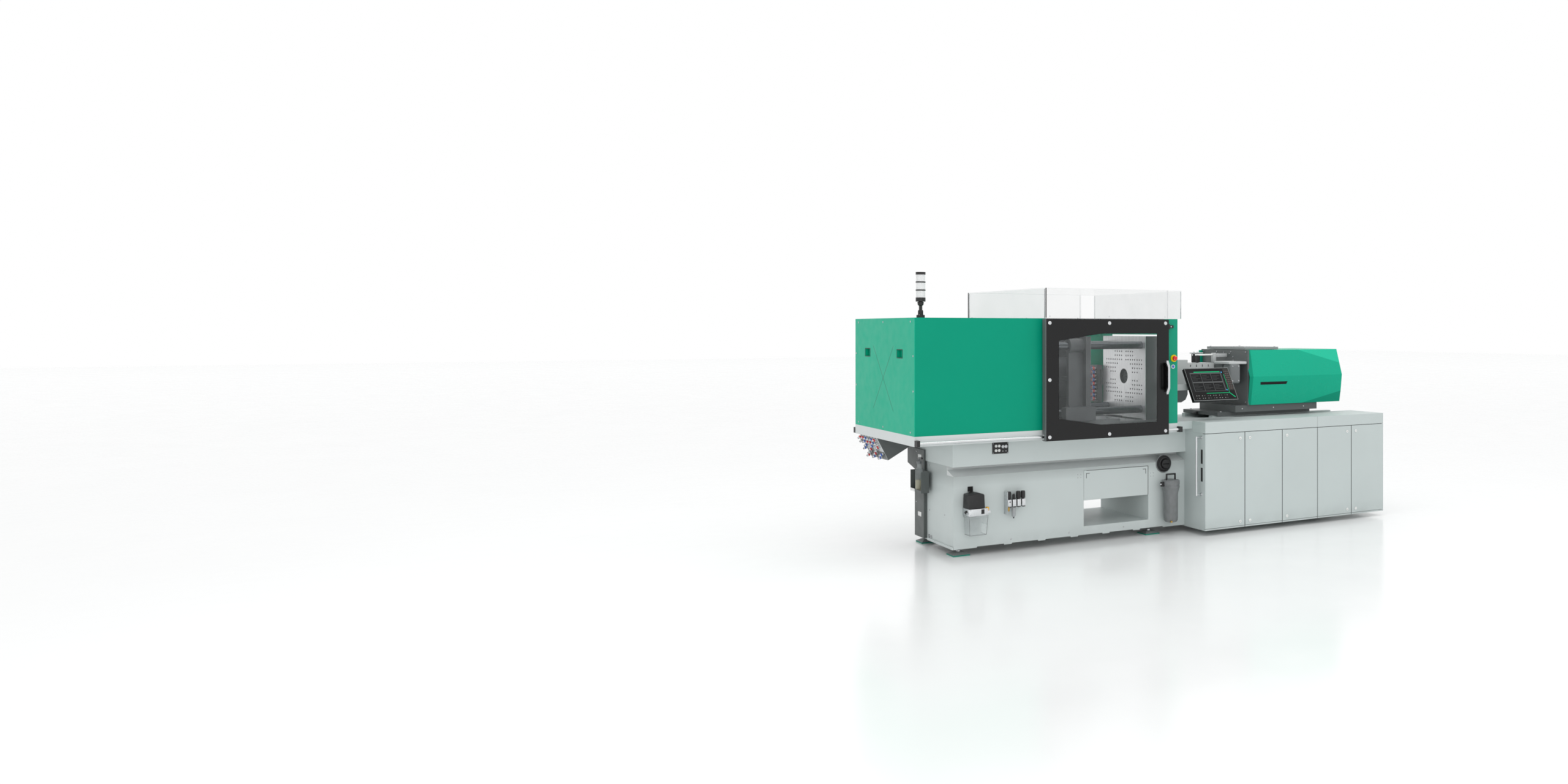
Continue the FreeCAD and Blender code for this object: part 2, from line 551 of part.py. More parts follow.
def moving_platen():
    """Plate with its holes, the ribbed body behind it, and the two sliding shoes."""
    plate_left = "moving_face - moving_plate"
    plate = box(plate_left, "moving_face", "-platen_half", "platen_half",
                "axis_height - platen_half", "axis_height + platen_half")
    body = [rod("X", "moving_back", plate_left, "0", "axis_height", "boss_radius")]
    for y, z in tie_points():
        body.append(rod("X", "sleeve_back", plate_left, y, z, "sleeve_radius"))
    for y in ("-tie_pitch", "tie_pitch"):
        body.append(box("sleeve_back", plate_left, f"{y} - rib / 2", f"{y} + rib / 2",
                        "axis_height - tie_pitch", "axis_height + tie_pitch"))
    body.append(box("sleeve_back", plate_left, "-tie_pitch", "tie_pitch",
                    "axis_height - rib / 2", "axis_height + rib / 2"))
    body.append(box("sleeve_back", plate_left, "-rib / 2", "rib / 2",
                    "axis_height - platen_half + 1", "axis_height + platen_half - 1"))
    shoes = []
    for side in SIDES:
        low, high = "beam_top + rail_height + running_gap", "shoe_top"
        shoes.append(fuse(
            box("shoe_left", "shoe_right", *span(side, "rail_inner", "shoe_outer"), low, high),
            box("shoe_right - 1", "moving_face", *span(side, "platen_half", "shoe_outer"), low, high)))
    bores = [rod("X", "sleeve_back - 1", "moving_face + 1", y, z, "tie_radius + running_gap")
             for y, z in tie_points()]
    seat = rod("X", "moving_face - seat_depth", "moving_face + 1", "0", "axis_height",
               "locating_radius")
    bay = rod("X", "moving_back + bay_wall", "ejector_bay_end", "0", "axis_height", "ejector_bay_radius")
    guide = rod("X", "ejector_bay_end - 1", "moving_face", "0", "axis_height", "ejector_radius + running_gap")
    plate = cut(cut(plate, *bores, seat, bay, guide), *mould_holes("moving_face", "moving"))
    node("moving_platen", group(plate, cut(fuse(*body), *bores, bay), *shoes))


def ejector_rod():
    collar = rod("X", "ejector_back", "ejector_collar_end", "0", "axis_height",
                 "ejector_bay_radius - running_gap")
    shaft = rod("X", "ejector_back", "ejector_tip", "0", "axis_height", "ejector_radius")
    node("ejector_rod", fuse(collar, shaft))


def parts_chute():
    top_half = "beam_inner - running_gap"
    outer = frustum(("chute_low_left", "chute_low_right", "-chute_low_half", "chute_low_half",
                     "chute_bottom"),
                    ("chute_left", "chute_right", f"-({top_half})", top_half, "chute_top"))
    inner = frustum(
        ("chute_low_left + sheet", "chute_low_right - sheet", "-chute_low_half + sheet",
         "chute_low_half - sheet", "chute_bottom - 0.1"),
        ("chute_left + sheet", "chute_right - sheet", f"-({top_half}) + sheet", f"{top_half} - sheet",
         "chute_top + 0.1"))
    node("parts_chute", cut(outer, inner))


def water_manifold():
    block = box("manifold_left", "platen_face", "manifold_near", "manifold_far", "manifold_bottom",
                "manifold_top")
    bracket = box("platen_face - manifold_bracket / 2", "platen_face + manifold_bracket", "platen_half",
                  "manifold_near + 1", "axis_height - manifold_bracket * 2", "axis_height + manifold_bracket")
    couplings = []
    for row in range(9):
        height = f"manifold_bottom + coupling_first + {row} * (manifold_top - manifold_bottom " \
                 "- 2 * coupling_first) / (coupling_rows - 1)"
        for column in range(3):
            couplings.append(rod("X", "manifold_left - coupling_length", "manifold_left + 1",
                                 f"manifold_near + coupling_side + {column} * coupling_step", height,
                                 "coupling_radius"))
    node("water_manifold", fuse(block, bracket, *couplings))


# --- covers of the clamp unit -----------------------------------------------------------------

def cover_frame():
    outer = box("0", "post_right", "-cover_half", "cover_half", "frame_bottom", "frame_top")
    inner = box("sheet", "post_right - sheet", "-cover_half + sheet", "cover_half - sheet",
                "frame_bottom + sheet", "frame_top + reach")
    well = box("frame_open_left", "post_right - sheet - 1", "-frame_open_half", "frame_open_half",
               "frame_bottom - reach", "frame_top")
    gate = box("post_right - reach", "post_right + reach", "-platen_window", "platen_window",
               "frame_bottom - reach", "frame_top + reach")
    node("cover_frame", cut(outer, inner, well, gate))


def clamp_cover():
    outer = box("end_wall", "cover_right", "-cover_half", "cover_half", "frame_top", "cover_top")
    inner = box("0", "cover_right + reach", "-cover_half + sheet", "cover_half - sheet",
                "frame_top - reach", "cover_top - sheet")
    node("clamp_cover", cut(outer, inner))


def end_panel():
    plate = box("0", "end_wall", "-cover_half", "cover_half", "frame_top", "cover_top")
    cups, pockets = [], []
    for centre in ("-grip_y", "grip_y"):
        low, high = f"{centre} - grip_width / 2", f"{centre} + grip_width / 2"
        cups.append(box("end_wall - 1", "grip_depth + sheet", f"{low} - sheet", f"{high} + sheet",
                        "grip_bottom - sheet", "grip_bottom + grip_height + sheet"))
        pockets.append(box("-1", "grip_depth", low, high, "grip_bottom", "grip_bottom + grip_height"))
    node("end_panel", cut(fuse(plate, *cups), *pockets))


def post_panels():
    pieces, hollows = [], []
    for side in SIDES:
        low, high = span(side, "cover_half - post_depth", "cover_half")
        pieces.append(box("post_left", "post_right", low, high, "frame_top", "cover_top"))
        low, high = span(side, "cover_half - post_depth + sheet", "cover_half - sheet")
        hollows.append(box("post_left + sheet", "post_right - sheet", low, high, "frame_top - 1",
                           "cover_top - sheet"))
    wall = cut(box("post_right - sheet", "post_right", "-cover_half + 1", "cover_half - 1",
                   "frame_top", "cover_top"),
               box("post_right - reach", "post_right + reach", "-platen_window", "platen_window",
                   "frame_top - reach", "window_top"))
    collar = rod("Y", "-cover_half - stop_collar_depth", "-cover_half + 1", "stop_station", "stop_z",
                 "stop_collar")
    ring = rod("Y", "-cover_half - start_ring_depth", "-cover_half + 1", "start_station", "start_z",
               "start_ring")
    stem_hole = rod("Y", "-cover_half - reach", "-cover_half + post_depth / 2", "stop_station", "stop_z",
                    "stop_stem + running_gap")
    start_hole = rod("Y", "-cover_half - reach", "-cover_half + post_depth / 2", "start_station", "start_z",
                     "start_radius + running_gap")
    bracket = [
        box("post_right - 1", "arm_station + arm_half", "-arm_y - arm_half", "-arm_y + arm_half", low, high)
        for low, high in (
            ("arm_z - arm_height / 2 - lug - running_gap", "arm_z - arm_height / 2 - running_gap"),
            ("arm_z + arm_height / 2 + running_gap", "arm_z + arm_height / 2 + lug + running_gap"))
    ]
    bracket.append(box("post_right - 1", "post_right + lug", "-arm_y - arm_half", "-arm_y + arm_half",
                       "arm_z - arm_height / 2 - lug", "arm_z + arm_height / 2 + lug"))
    pin = rod("Z", "arm_z - arm_height / 2 - lug - 1", "arm_z + arm_height / 2 + lug + 1",
              "arm_station", "-arm_y", "pin_radius")
    posts = cut(fuse(*pieces, collar, ring), *hollows, stem_hole, start_hole)
    node("post_panels", fuse(posts, wall, *bracket, pin))


def push_buttons():
    head_back = "-cover_half - stop_collar_depth - stop_travel"
    head = rod("Y", f"{head_back} - stop_head_depth", head_back, "stop_station", "stop_z", "stop_head")
    stem = rod("Y", f"{head_back} - 1", "-cover_half + reach", "stop_station", "stop_z", "stop_stem")
    node("estop_button", fuse(head, stem))
    node("start_button", rod("Y", "-cover_half - start_ring_depth - start_stand", "-cover_half + reach",
                             "start_station", "start_z", "start_radius"))


def top_rails():
    pieces = []
    for side in SIDES:
        low, high = span(side, "cover_half - top_rail_depth", "cover_half")
        pieces.append(box("cover_right", "post_left", low, high, "cover_top - top_rail_height", "cover_top"))
        low, high = span(side, "cover_half - sheet", "door_face - roller_radius - door_sheet")
        left, right = "roller_station - bracket_half", "roller_station + bracket_half"
        plate_top = "roller_low - bracket_plate"
        pieces.append(box(left, right, low, high, f"{plate_top} - bracket_plate", plate_top))
        low, high = span(side, "cover_half - top_rail_depth", "cover_half - sheet + 1")
        pieces.append(box(left, right, low, high, f"{plate_top} - bracket_plate",
                          "cover_top - top_rail_height + 1"))
        middle = across(side, "(door_face - door_sheet + door_back + door_sheet) / 2")
        pieces.append(rod("Z", f"{plate_top} - 1", "roller_low + 1", "roller_station", middle, "roller_pin"))
        pieces.append(rod("Z", "roller_low", "roller_high", "roller_station", middle, "roller_radius"))
    node("top_rails", group(fuse(*pieces[:5]), fuse(*pieces[5:])))


def door_rails():
    halves = []
    for side in SIDES:
        middle = across(side, "door_rail_y")
        halves.append(rod("X", "clamp_block", "door_rail_end - clamp_block", middle, "door_rail_z",
                          "door_rail_radius"))
        for low in ("0", "door_rail_end - clamp_block"):
            near, far = span(side, "cover_half", "door_rail_y + clamp_half")
            halves.append(box(low, f"{low} + clamp_block", near, far, "door_rail_z - clamp_half",
                              "door_rail_z + clamp_half"))
    node("door_rails", group(*halves))


def top_guard():
    right = "post_right"
    roof = box("hood_left", right, "-hood_half", "hood_half", "hood_top - hood_wall", "hood_top")
    sides = [
        box(low, f"{low} + hood_wall", "-hood_half", "hood_half", "cover_top", "hood_top - hood_wall + 1")
        for low in ("hood_left", f"{right} - hood_wall")
    ]
    node("top_guard", fuse(roof, *sides))


def glass_outline():
    return [
        ("glass_left", "glass_left_bottom"), ("glass_bend", "glass_bottom"), ("glass_right", "glass_bottom"),
        ("glass_right", "glass_top"), ("glass_bend", "glass_top"), ("glass_left", "glass_left_top"),
    ]


def sliding_door(side):
    """Sheet-metal door pan with its window, finger cup, rail sliders and top guide channel."""
    face, back = "door_face", "door_back"
    pan = cut(
        box("door_left", "door_right", *span(side, back, face), "door_bottom", "door_top"),
        box("door_left + door_sheet", "door_right - door_sheet",
            *span(side, f"{back} - reach", f"{face} - door_sheet"),
            "door_bottom + door_sheet", "door_top - door_sheet"))
    lip = box("door_left + door_sheet - 1", "door_right - door_sheet + 1",
              *span(side, back, f"{back} + door_sheet"), "door_top - lip_height", "door_top - 1")
    cup = box("cup_left - sheet", "cup_right + sheet",
              *span(side, f"{face} - cup_depth - sheet", f"{face} - 1"),
              "cup_bottom - sheet", "cup_top + sheet")
    blocks = [
        box(low, f"{low} + slider_length",
            *span(side, "door_rail_y - door_rail_radius - door_sheet - 2", f"{face} - 1"),
            "door_bottom + 1", "slider_top")
        for low in ("door_left + slider_inset", "door_right - slider_inset - slider_length")
    ]
    window = prism("XZ", glass_outline(), *span(side, f"{face} - door_sheet - 1", f"{face} + 1"))
    pocket = box("cup_left", "cup_right", *span(side, f"{face} - cup_depth", f"{face} + reach"),
                 "cup_bottom", "cup_top")
    clearance = "door_rail_radius + running_gap"
    rail_bore = rod("X", "door_left - 1", "door_right + 1", across(side, "door_rail_y"), "door_rail_z",
                    clearance)
    mouth = box("door_left - 1", "door_left + door_sheet + 1",
                *span(side, f"{back} - reach", "door_rail_y + clamp_half + 1"),
                "door_rail_z - clamp_half - 1", "door_rail_z + clamp_half + 1")
    frame = cut(fuse(pan, lip, cup, *blocks), window, pocket, rail_bore, mouth)
    pane_back = f"{face} - door_sheet - pane"
    glass = box("glass_left - pane_lap", "glass_right + pane_lap",
                *span(side, pane_back, f"{face} - door_sheet"),
                "glass_bottom - pane_lap", "glass_top + pane_lap")
    hood_pane = box("door_left", "door_right", *span(side, "hood_pane_y", "hood_pane_y + hood_wall"),
                    "door_top", "hood_top")
    return frame, group(glass, hood_pane), bow_handle(side)


def bow_handle(side):
    outer = [
        ("bow_left", "bow_bottom"), ("bow_left + bow_bar", "bow_bottom"),
        ("bow_right", "bow_bottom + bow_bend"),
        ("bow_right", "bow_top - bow_bend"), ("bow_left + bow_bar", "bow_top"), ("bow_left", "bow_top"),
        ("bow_left", "bow_top - bow_bar"), ("bow_right - bow_bar", "bow_top - bow_bend - bow_bar / 2"),
        ("bow_right - bow_bar", "bow_bottom + bow_bend + bow_bar / 2"), ("bow_left", "bow_bottom + bow_bar"),
    ]
    bow = prism("XZ", outer, *span(side, "door_face + bow_stand - bow_bar", "door_face + bow_stand"))
    legs = [
        box("bow_left", "bow_left + bow_bar", *span(side, "door_face", "door_face + bow_stand - bow_bar + 1"),
            low, f"{low} + bow_bar")
        for low in ("bow_bottom", "bow_top - bow_bar")
    ]
    return fuse(bow, *legs)


def doors():
    frame, panes, handle = sliding_door("front")
    node("safety_door_frame", frame)
    node("safety_door_panes", panes)
    node("safety_door_handle", handle)
    frame, panes, handle = sliding_door("rear")
    node("rear_door_frame", group(frame, handle))
    node("rear_door_panes", panes)


# --- equipment on the clamp side --------------------------------------------------------------

def signal_tower():
    x, y = "tower_station", "-tower_y"
    ring_radius = "lens_radius + 2"
    parts = [
        rod("Z", "cover_top", "cover_top + reach", x, y, "tower_foot"),
        rod("Z", "cover_top", "tower_top", x, y, "tower_stem"),
        rod("Z", "collar_bottom", "lens_bottom", x, y, ring_radius),
    ]
    lenses = []
    for index in range(3):
        low = f"lens_bottom + {index} * (lens_height + ring_height)"
        lens = cut(rod("Z", low, f"{low} + lens_height", x, y, "lens_radius"),
                   rod("Z", f"{low} - 1", f"{low} + lens_height + 1", x, y, "lens_radius - lens_wall"))
        lenses.append(lens)
        top = f"{low} + lens_height + ring_height" if index < 2 else "tower_top"
        parts.append(rod("Z", f"{low} + lens_height", top, x, y, ring_radius))
    node("signal_tower", fuse(*parts))
    node("signal_lenses", group(*lenses))


def slope_rotation():
    """Turn that lays a piece square to the sloping front of the connection box."""
    run = DIMS["box_low"] - DIMS["box_left"]
    fall = DIMS["frame_bottom"] - DIMS["box_bottom"]
    return FreeCAD.Rotation(FreeCAD.Vector(0, 1, 0), 180 + math.degrees(math.atan2(fall, run)))


def connection_box():
    slope = "(frame_bottom - box_bottom) / (box_right - box_low)"
    outline = [
        ("box_left", "frame_bottom"), ("box_low", "box_bottom"),
        ("tray_left - box_gap", f"box_bottom + (tray_left - box_gap - box_low) * {slope}"),
        ("tray_left - box_gap", "frame_bottom"),
    ]
    outer = prism("XZ", outline, "box_front", "box_back")
    node("connection_box", outer)
    turn = slope_rotation()
    sockets = []
    for row in range(6):
        for column in range(6):
            share = f"({row} + 0.6) / 6.4"
            socket = doc.addObject("Part::Cylinder", "socket")
            socket.setExpression("Radius", bind("socket_radius"))
            socket.setExpression("Height", bind("socket_length"))
            socket.Placement = FreeCAD.Placement(FreeCAD.Vector(), turn)
            place(socket, f"box_left + (box_low - box_left) * {share}",
                  f"box_front + (box_back - box_front) * ({column} + 0.5) / 6",
                  f"frame_bottom - (frame_bottom - box_bottom) * {share}")
            if (row + column) % 2 == 0 or row < 2:
                sockets.append(socket)
            else:
                doc.removeObject(socket.Name)
    node("connection_couplings", group(*sockets))


def lubrication():
    cap = prism("XZ", [
        ("pump_left", "pump_cap_bottom"), ("pump_right", "pump_cap_bottom"),
        ("pump_right - pump_lean", "pump_shoulder"), ("pump_peak", "pump_cap_top"),
        ("pump_left + pump_lean", "pump_cap_top - pump_crown"),
    ], "-pump_front", "-base_front - sheet")
    body = box("pump_left", "pump_body_right", "-pump_front - pump_rim", "-base_front", "pump_body_bottom",
               "pump_cap_bottom + 1")
    fitting = rod("X", "pump_left - fitting_reach", "pump_left + 1", "-pump_front + fitting_inset",
                  "pump_cap_bottom - fitting_drop", "fitting_radius")
    plug = rod("Z", "pump_cap_bottom - 1", "pump_cap_bottom + plug_rise", "plug_station",
               "-pump_front + plug_inset", "fitting_radius")
    node("lubrication_pump", fuse(cap, body, fitting, plug))

    def tank_level(inset, z):
        return (f"tank_top_left + {inset}", f"tank_top_right - {inset}", f"-tank_front + {inset}",
                f"-tank_rear - ({inset}) / 2", z)
    outer = frustum(tank_level("tank_taper", "tank_bottom"), tank_level("0", "pump_body_bottom"))
    inner = frustum(tank_level("tank_taper + tank_wall", "tank_bottom + tank_wall"),
                    tank_level("tank_wall", "pump_body_bottom + 0.1"))
    node("lubrication_tank", cut(outer, inner))


def air_service_unit():
    pieces = [
        box("air_plate - sheet", "air_plate", "-air_front", "-base_front", "air_plate_bottom",
            "air_plate_top"),
        box("air_plate - 1", "air_left + 3 * air_step + air_block", "-air_rear - air_bracket", "-base_front",
            "air_bottom + air_margin", "air_top - air_margin"),
    ]
    middle = "-(air_front + air_rear) / 2"
    for index in range(4):
        left = f"air_left + {index} * air_step"
        centre = f"{left} + air_block / 2"
        pieces.append(box(left, f"{left} + air_block", "-air_front", "-air_rear", "air_bottom", "air_top"))
        top = "air_knob_top" if index != 1 else "air_knob_top - air_knob_drop"
        pieces.append(rod("Z", "air_top - 1", top, centre, middle, "air_knob"))
        if index == 1:
            pieces.append(rod("Z", "air_bowl_bottom", "air_bottom + 1", centre, middle, "air_bowl"))
    node("air_service_unit", fuse(*pieces))


def return_filter():
    x, y = "filter_station", "-filter_y"
    pieces = [
        rod("Z", "filter_bottom", "filter_neck + 1", x, y, "filter_radius"),
        cone("Z", "filter_neck", "filter_head_bottom", x, y, "filter_radius", "filter_head"),
        rod("Z", "filter_head_bottom - 1", "filter_head_top", x, y, "filter_head"),
        box(f"{x} - filter_radius / 2", f"{x} + filter_radius / 2", f"{y}", "-base_front",
            "filter_head_bottom", "filter_head_top - sheet"),
    ]
    loop = cut(
        box(f"{x} - loop_half", f"{x} + loop_half", f"{y} - loop_bar / 2", f"{y} + loop_bar / 2",
            "filter_head_top - 1", "filter_loop"),
        box(f"{x} - loop_half + loop_bar", f"{x} + loop_half - loop_bar", f"{y} - loop_bar",
            f"{y} + loop_bar", "filter_head_top", "filter_loop - loop_bar"))
    node("return_filter", fuse(*pieces, loop))


def filler_cap():
    disc = rod("Y", "-base_front - cap_depth", "-base_front", "cap_station", "cap_z", "cap_radius")
    grip = rod("Y", "-base_front - cap_depth - cap_grip_depth", "-base_front - cap_depth + 1",
               "cap_station", "cap_z", "cap_grip")
    node("filler_cap", fuse(disc, grip))


# --- injection side ---------------------------------------------------------------------------

def injection_base():
    shell = cut(
        box("base_right", "unit_right", "-unit_front", "base_rear", "unit_floor", "unit_top"),
        box("base_right + unit_wall", "unit_right - unit_wall", "-unit_front + unit_wall",
            "base_rear - unit_wall", "unit_floor + unit_wall", "unit_top - unit_wall"))
    step = fuse(
        box("step_left", "base_right", "-step_front", "-beam_outer - flap_gap", "step_bottom", "step_top"),
        box("beam_right + flap_gap", "base_right", "-beam_outer - flap_gap - 1", "base_rear",
            "step_bottom", "step_top"))
    seat = box("base_right - 1", "base_right + unit_wall", "-unit_front", "base_rear",
               "step_bottom", "unit_top")
    rails = [
        box("slide_rail_left", "unit_right - reach", *span(side, "slide_rail_inner", "slide_rail_outer"),
            "unit_top - 1", "unit_top + slide_rail_height")
        for side in SIDES
    ]
    node("injection_base", fuse(shell, step, seat, *rails))


def hydraulic_pump():
    motor = rod("X", "motor_left", "motor_left + motor_length", "motor_y", "motor_z", "motor_radius")
    feet = box("motor_left + reach", "motor_left + motor_length - reach", "motor_y - motor_radius / 2",
               "motor_y + motor_radius / 2", "unit_floor + unit_wall", "motor_z")
    pump = rod("X", "motor_left + motor_length - 1", "oil_left + 1", "motor_y", "motor_z", "motor_radius / 2")
    tank = box("oil_left", "oil_right", "motor_y - oil_half", "motor_y + oil_half", "unit_floor + unit_wall",
               "oil_top")
    node("hydraulic_pump", fuse(motor, feet, pump, tank))


def cabinet_shell():
    right = "total_length"
    outer = box("cabinet_left", right, "-cabinet_front", "-unit_front", "cabinet_floor", "cabinet_top")
    recess = box("cabinet_left - 1", f"{right} + 1", "-cabinet_front - 1", "-cabinet_front + door_depth",
                 "cabinet_floor + sill", "door_line")
    bays = [
        box(low, high, "-cabinet_front", "-unit_front - sheet", "cabinet_floor + sill + sheet",
            "door_line - sheet")
        for low, high in (("cabinet_left + sheet", "partition - sheet"),
                          ("partition + sheet", f"{right} - sheet"))
    ]
    node("cabinet_shell", cut(outer, recess, *bays))


def cabinet_bar():
    x_out = "cabinet_left - bar_stand"
    bar = rod("Z", "bar_low", "bar_high", x_out, "-bar_y", "bar_radius")
    legs = [
        rod("X", x_out, "cabinet_left", "-bar_y", z, "bar_radius - 1")
        for z in ("bar_low + bar_radius", "bar_high - bar_radius")
    ]
    node("cabinet_bar", fuse(bar, *legs))


def cabinet_doors():
    edges = ["cabinet_left", "joint_one", "joint_two", "partition", "joint_four", "total_length"]
    locks_right = [True, False, False, True, False]
    for index in range(5):
        low = f"{edges[index]} + {'0' if index == 0 else 'door_joint / 2'}"
        high = f"{edges[index + 1]} - {'0' if index == 4 else 'door_joint / 2'}"
        bottom, top = "cabinet_floor + sill + door_joint", "door_line - door_joint"
        outer = box(low, high, "-cabinet_front", "-cabinet_front + door_depth - running_gap", bottom, top)
        hollow = box(f"{low} + sheet", f"{high} - sheet", "-cabinet_front + sheet",
                     "-cabinet_front + door_depth + 1", f"{bottom} + sheet", f"{top} - sheet")
        station = f"{high} - lock_inset" if locks_right[index] else f"{low} + lock_inset"
        locks = [
            rod("Y", "-cabinet_front - lock_depth", "-cabinet_front + sheet", station, z, "lock_radius")
            for z in ("lock_low", "lock_high")
        ]
        node(f"cabinet_door_{index + 1}", fuse(cut(outer, hollow), *locks))


def hull_outline(wall):
    return [
        (f"-hull_low_half + {wall}", f"hull_bottom + {wall}"),
        (f"hull_low_half - {wall}", f"hull_bottom + {wall}"),
        (f"hull_mid_half - {wall}", "hull_mid"), (f"hull_top_half - {wall}", f"hull_top - {wall}"),
        (f"-hull_top_half + {wall}", f"hull_top - {wall}"), (f"-hull_mid_half + {wall}", "hull_mid"),
    ]


def injection_cover():
    """Folded panels round the drive: six walls mitred together and the end wall."""
    left, right = "shield_left + shield_thick + running_gap", "hull_right - sheet"
    outer, inner = hull_outline("0"), hull_outline("sheet")
    floor = box("shield_left", "drive_right + reach", "-drive_half - reach", "drive_half + reach",
                "hull_bottom - 1", "hull_bottom + sheet + 1")
    slots = box("slot_left", "slot_right", "-hull_mid_half - reach", "hull_mid_half + reach",
                "slot_low", "slot_high")
    throat = rod("Z", "hull_top - reach", "hull_top + reach", "feed_station", "0",
                 "feed_radius + feed_wall + reach")
    openings = {0: floor, 1: slots, 3: throat, 5: slots}
    panels = []
    for index in range(len(outer)):
        after = (index + 1) % len(outer)
        panel = prism("YZ", [outer[index], outer[after], inner[after], inner[index]], left, right)
        panels.append(cut(panel, openings[index]) if index in openings else panel)
    node("injection_cover", group(*panels, prism("YZ", outer, right, "hull_right")))


def injection_carriage():
    """Sled and plate on the rails, with the shield, gear box, barrel saddle and drive standing on them."""
    top, axis = "carriage_top", "axis_height"
    rail_top = "unit_top + slide_rail_height + running_gap"
    sled = box("sled_left", "sled_right", "-sled_half", "sled_half", rail_top, "sled_top")
    base = prism("XY", [
        ("carriage_left", "-carriage_half"), ("carriage_right", "-carriage_half"),
        ("carriage_right", "carriage_half"), ("carriage_cut", "carriage_half"),
        ("carriage_left", "carriage_corner"),
    ], "sled_top", top)
    barrel_bore = rod("X", "gear_left - 1", "barrel_right + 1", "0", axis, "barrel_radius + running_gap")
    shield = cut(box("shield_left", "shield_left + shield_thick", "-shield_half", "shield_half", top,
                     "hull_top"), barrel_bore)
    gear = cut(box("gear_left", "shield_left", "-gear_front", "gear_back", "gear_low", "gear_high"),
               barrel_bore)
    saddle = fuse(
        box("saddle_left", "saddle_right", "-saddle_half", "saddle_half", top,
            f"{axis} + barrel_radius + reach"),
        rod("Z", axis, "feed_low", "feed_station", "0", "feed_radius + feed_wall"))
    feed = rod("Z", axis, "feed_low + 1", "feed_station", "0", "feed_radius")
    drive = box("drive_left", "drive_right", "-drive_half", "drive_half", top, f"{axis} + drive_half")
    shaft_bore = rod("X", "drive_left - 1", "drive_left + drive_wall + 1", "0", axis,
                     "shaft_radius + running_gap")
    piston_bore = rod("X", "drive_left + drive_wall", "drive_bore_right", "0", axis,
                      "drive_bore + running_gap")
    node("injection_carriage", group(sled, base, shield, gear, cut(saddle, barrel_bore, feed),
                                     cut(drive, shaft_bore, piston_bore)))


def barrel():
    axis = "axis_height"
    pieces = [
        rod("X", "barrel_left", "barrel_right", "0", axis, "barrel_radius"),
        rod("X", "nozzle_tip + nozzle_cone - 1", "barrel_left + 1", "0", axis, "nozzle_radius"),
        cone("X", "nozzle_tip", "nozzle_tip + nozzle_cone", "0", axis, "nozzle_point", "nozzle_radius"),
    ]
    for index in range(4):
        low = f"band_first + {index} * band_step"
        pieces.append(rod("X", low, f"{low} + band_length", "0", axis, "band_radius"))
    bore = rod("X", "screw_left - 10", "barrel_right + 1", "0", axis, "screw_bore")
    inlet = rod("Z", axis, f"{axis} + barrel_radius + 1", "feed_station", "0", "screw_bore - 4")
    node("barrel", cut(fuse(*pieces), bore, inlet))


def plasticising_screw():
    axis = "axis_height"
    flights = [
        rod("X", f"screw_left + reach + {index} * flight_pitch",
            f"screw_left + reach + {index} * flight_pitch + flight_width", "0", axis, "screw_radius")
        for index in range(25)
    ]
    tip = cone("X", "screw_left", "screw_left + reach + 1", "0", axis, "screw_core / 4", "screw_core")
    core = rod("X", "screw_left + reach", "screw_right", "0", axis, "screw_core")
    tail = rod("X", "screw_right - drive_wall", "screw_right", "0", axis, "screw_radius")
    node("plasticising_screw", fuse(tip, core, tail, *flights))


def injection_piston():
    shaft = rod("X", "screw_right", "disc_left + 1", "0", "axis_height", "shaft_radius")
    disc = rod("X", "disc_left", "disc_left + disc_length", "0", "axis_height", "drive_bore")
    node("injection_piston", fuse(shaft, disc))


def barrel_guard():
    outer = box("guard_left", "gear_left", "-guard_half", "guard_half", "guard_low", "guard_high")
    inner = box("guard_left - 1", "gear_left - sheet", "-guard_half + sheet", "guard_half - sheet",
                "guard_low - 1", "guard_high - sheet")
    gate = rod("X", "gear_left - reach", "gear_left + 1", "0", "axis_height", "band_radius + reach")
    slots = [
        box(f"guard_left + vent_start + {index} * vent_step",
            f"guard_left + vent_start + vent_width + {index} * vent_step", "-guard_half - 1",
            "guard_half + 1", "guard_high - vent_low", "guard_high - vent_high")
        for index in range(4)
    ]
    node("barrel_guard", cut(outer, inner, gate, *slots))


def feed_plate():
    plate = box("feed_left", "feed_right", "-feed_half", "feed_half", "feed_low", "feed_high")
    holes = [rod("Z", "feed_low - 1", "feed_high + 1", "feed_station", "0", "feed_radius")]
    for x_sign in ("-", "+"):
        for y_sign in ("-", ""):
            holes.append(rod("Z", "feed_low - 1", "feed_high + 1", f"feed_station {x_sign} feed_pitch / 2",
                             f"{y_sign}feed_pitch / 2", "feed_hole"))
    node("feed_plate", cut(plate, *holes))


def nozzle_guard():
    """Box over the nozzle, open at the platen, with a rounded lower corner towards the barrel."""
    def outline(wall, start):
        right, low = f"nozzle_guard_right - {wall}", f"nozzle_guard_low + {wall}"
        return [
            (start, low), (f"{right} - guard_round", low),
            (f"{right} - guard_round / 3", f"{low} + guard_round / 3"),
            (right, f"{low} + guard_round"), (right, f"nozzle_guard_high - {wall}"),
            (start, f"nozzle_guard_high - {wall}"),
        ]
    back = "platen_face + platen_thick"
    half = "(tie_pitch - nut_radius - nozzle_guard_gap)"
    outer = prism("XZ", outline("0", back), f"-{half}", half)
    inner = prism("XZ", outline("nozzle_guard_wall", f"{back} - 1"), f"-{half} + nozzle_guard_wall",
                  f"{half} - nozzle_guard_wall")
    gate = rod("X", "nozzle_guard_right - reach", "nozzle_guard_right + 1", "0", "axis_height",
               "band_radius + reach * 2")
    node("nozzle_guard", cut(outer, inner, gate))


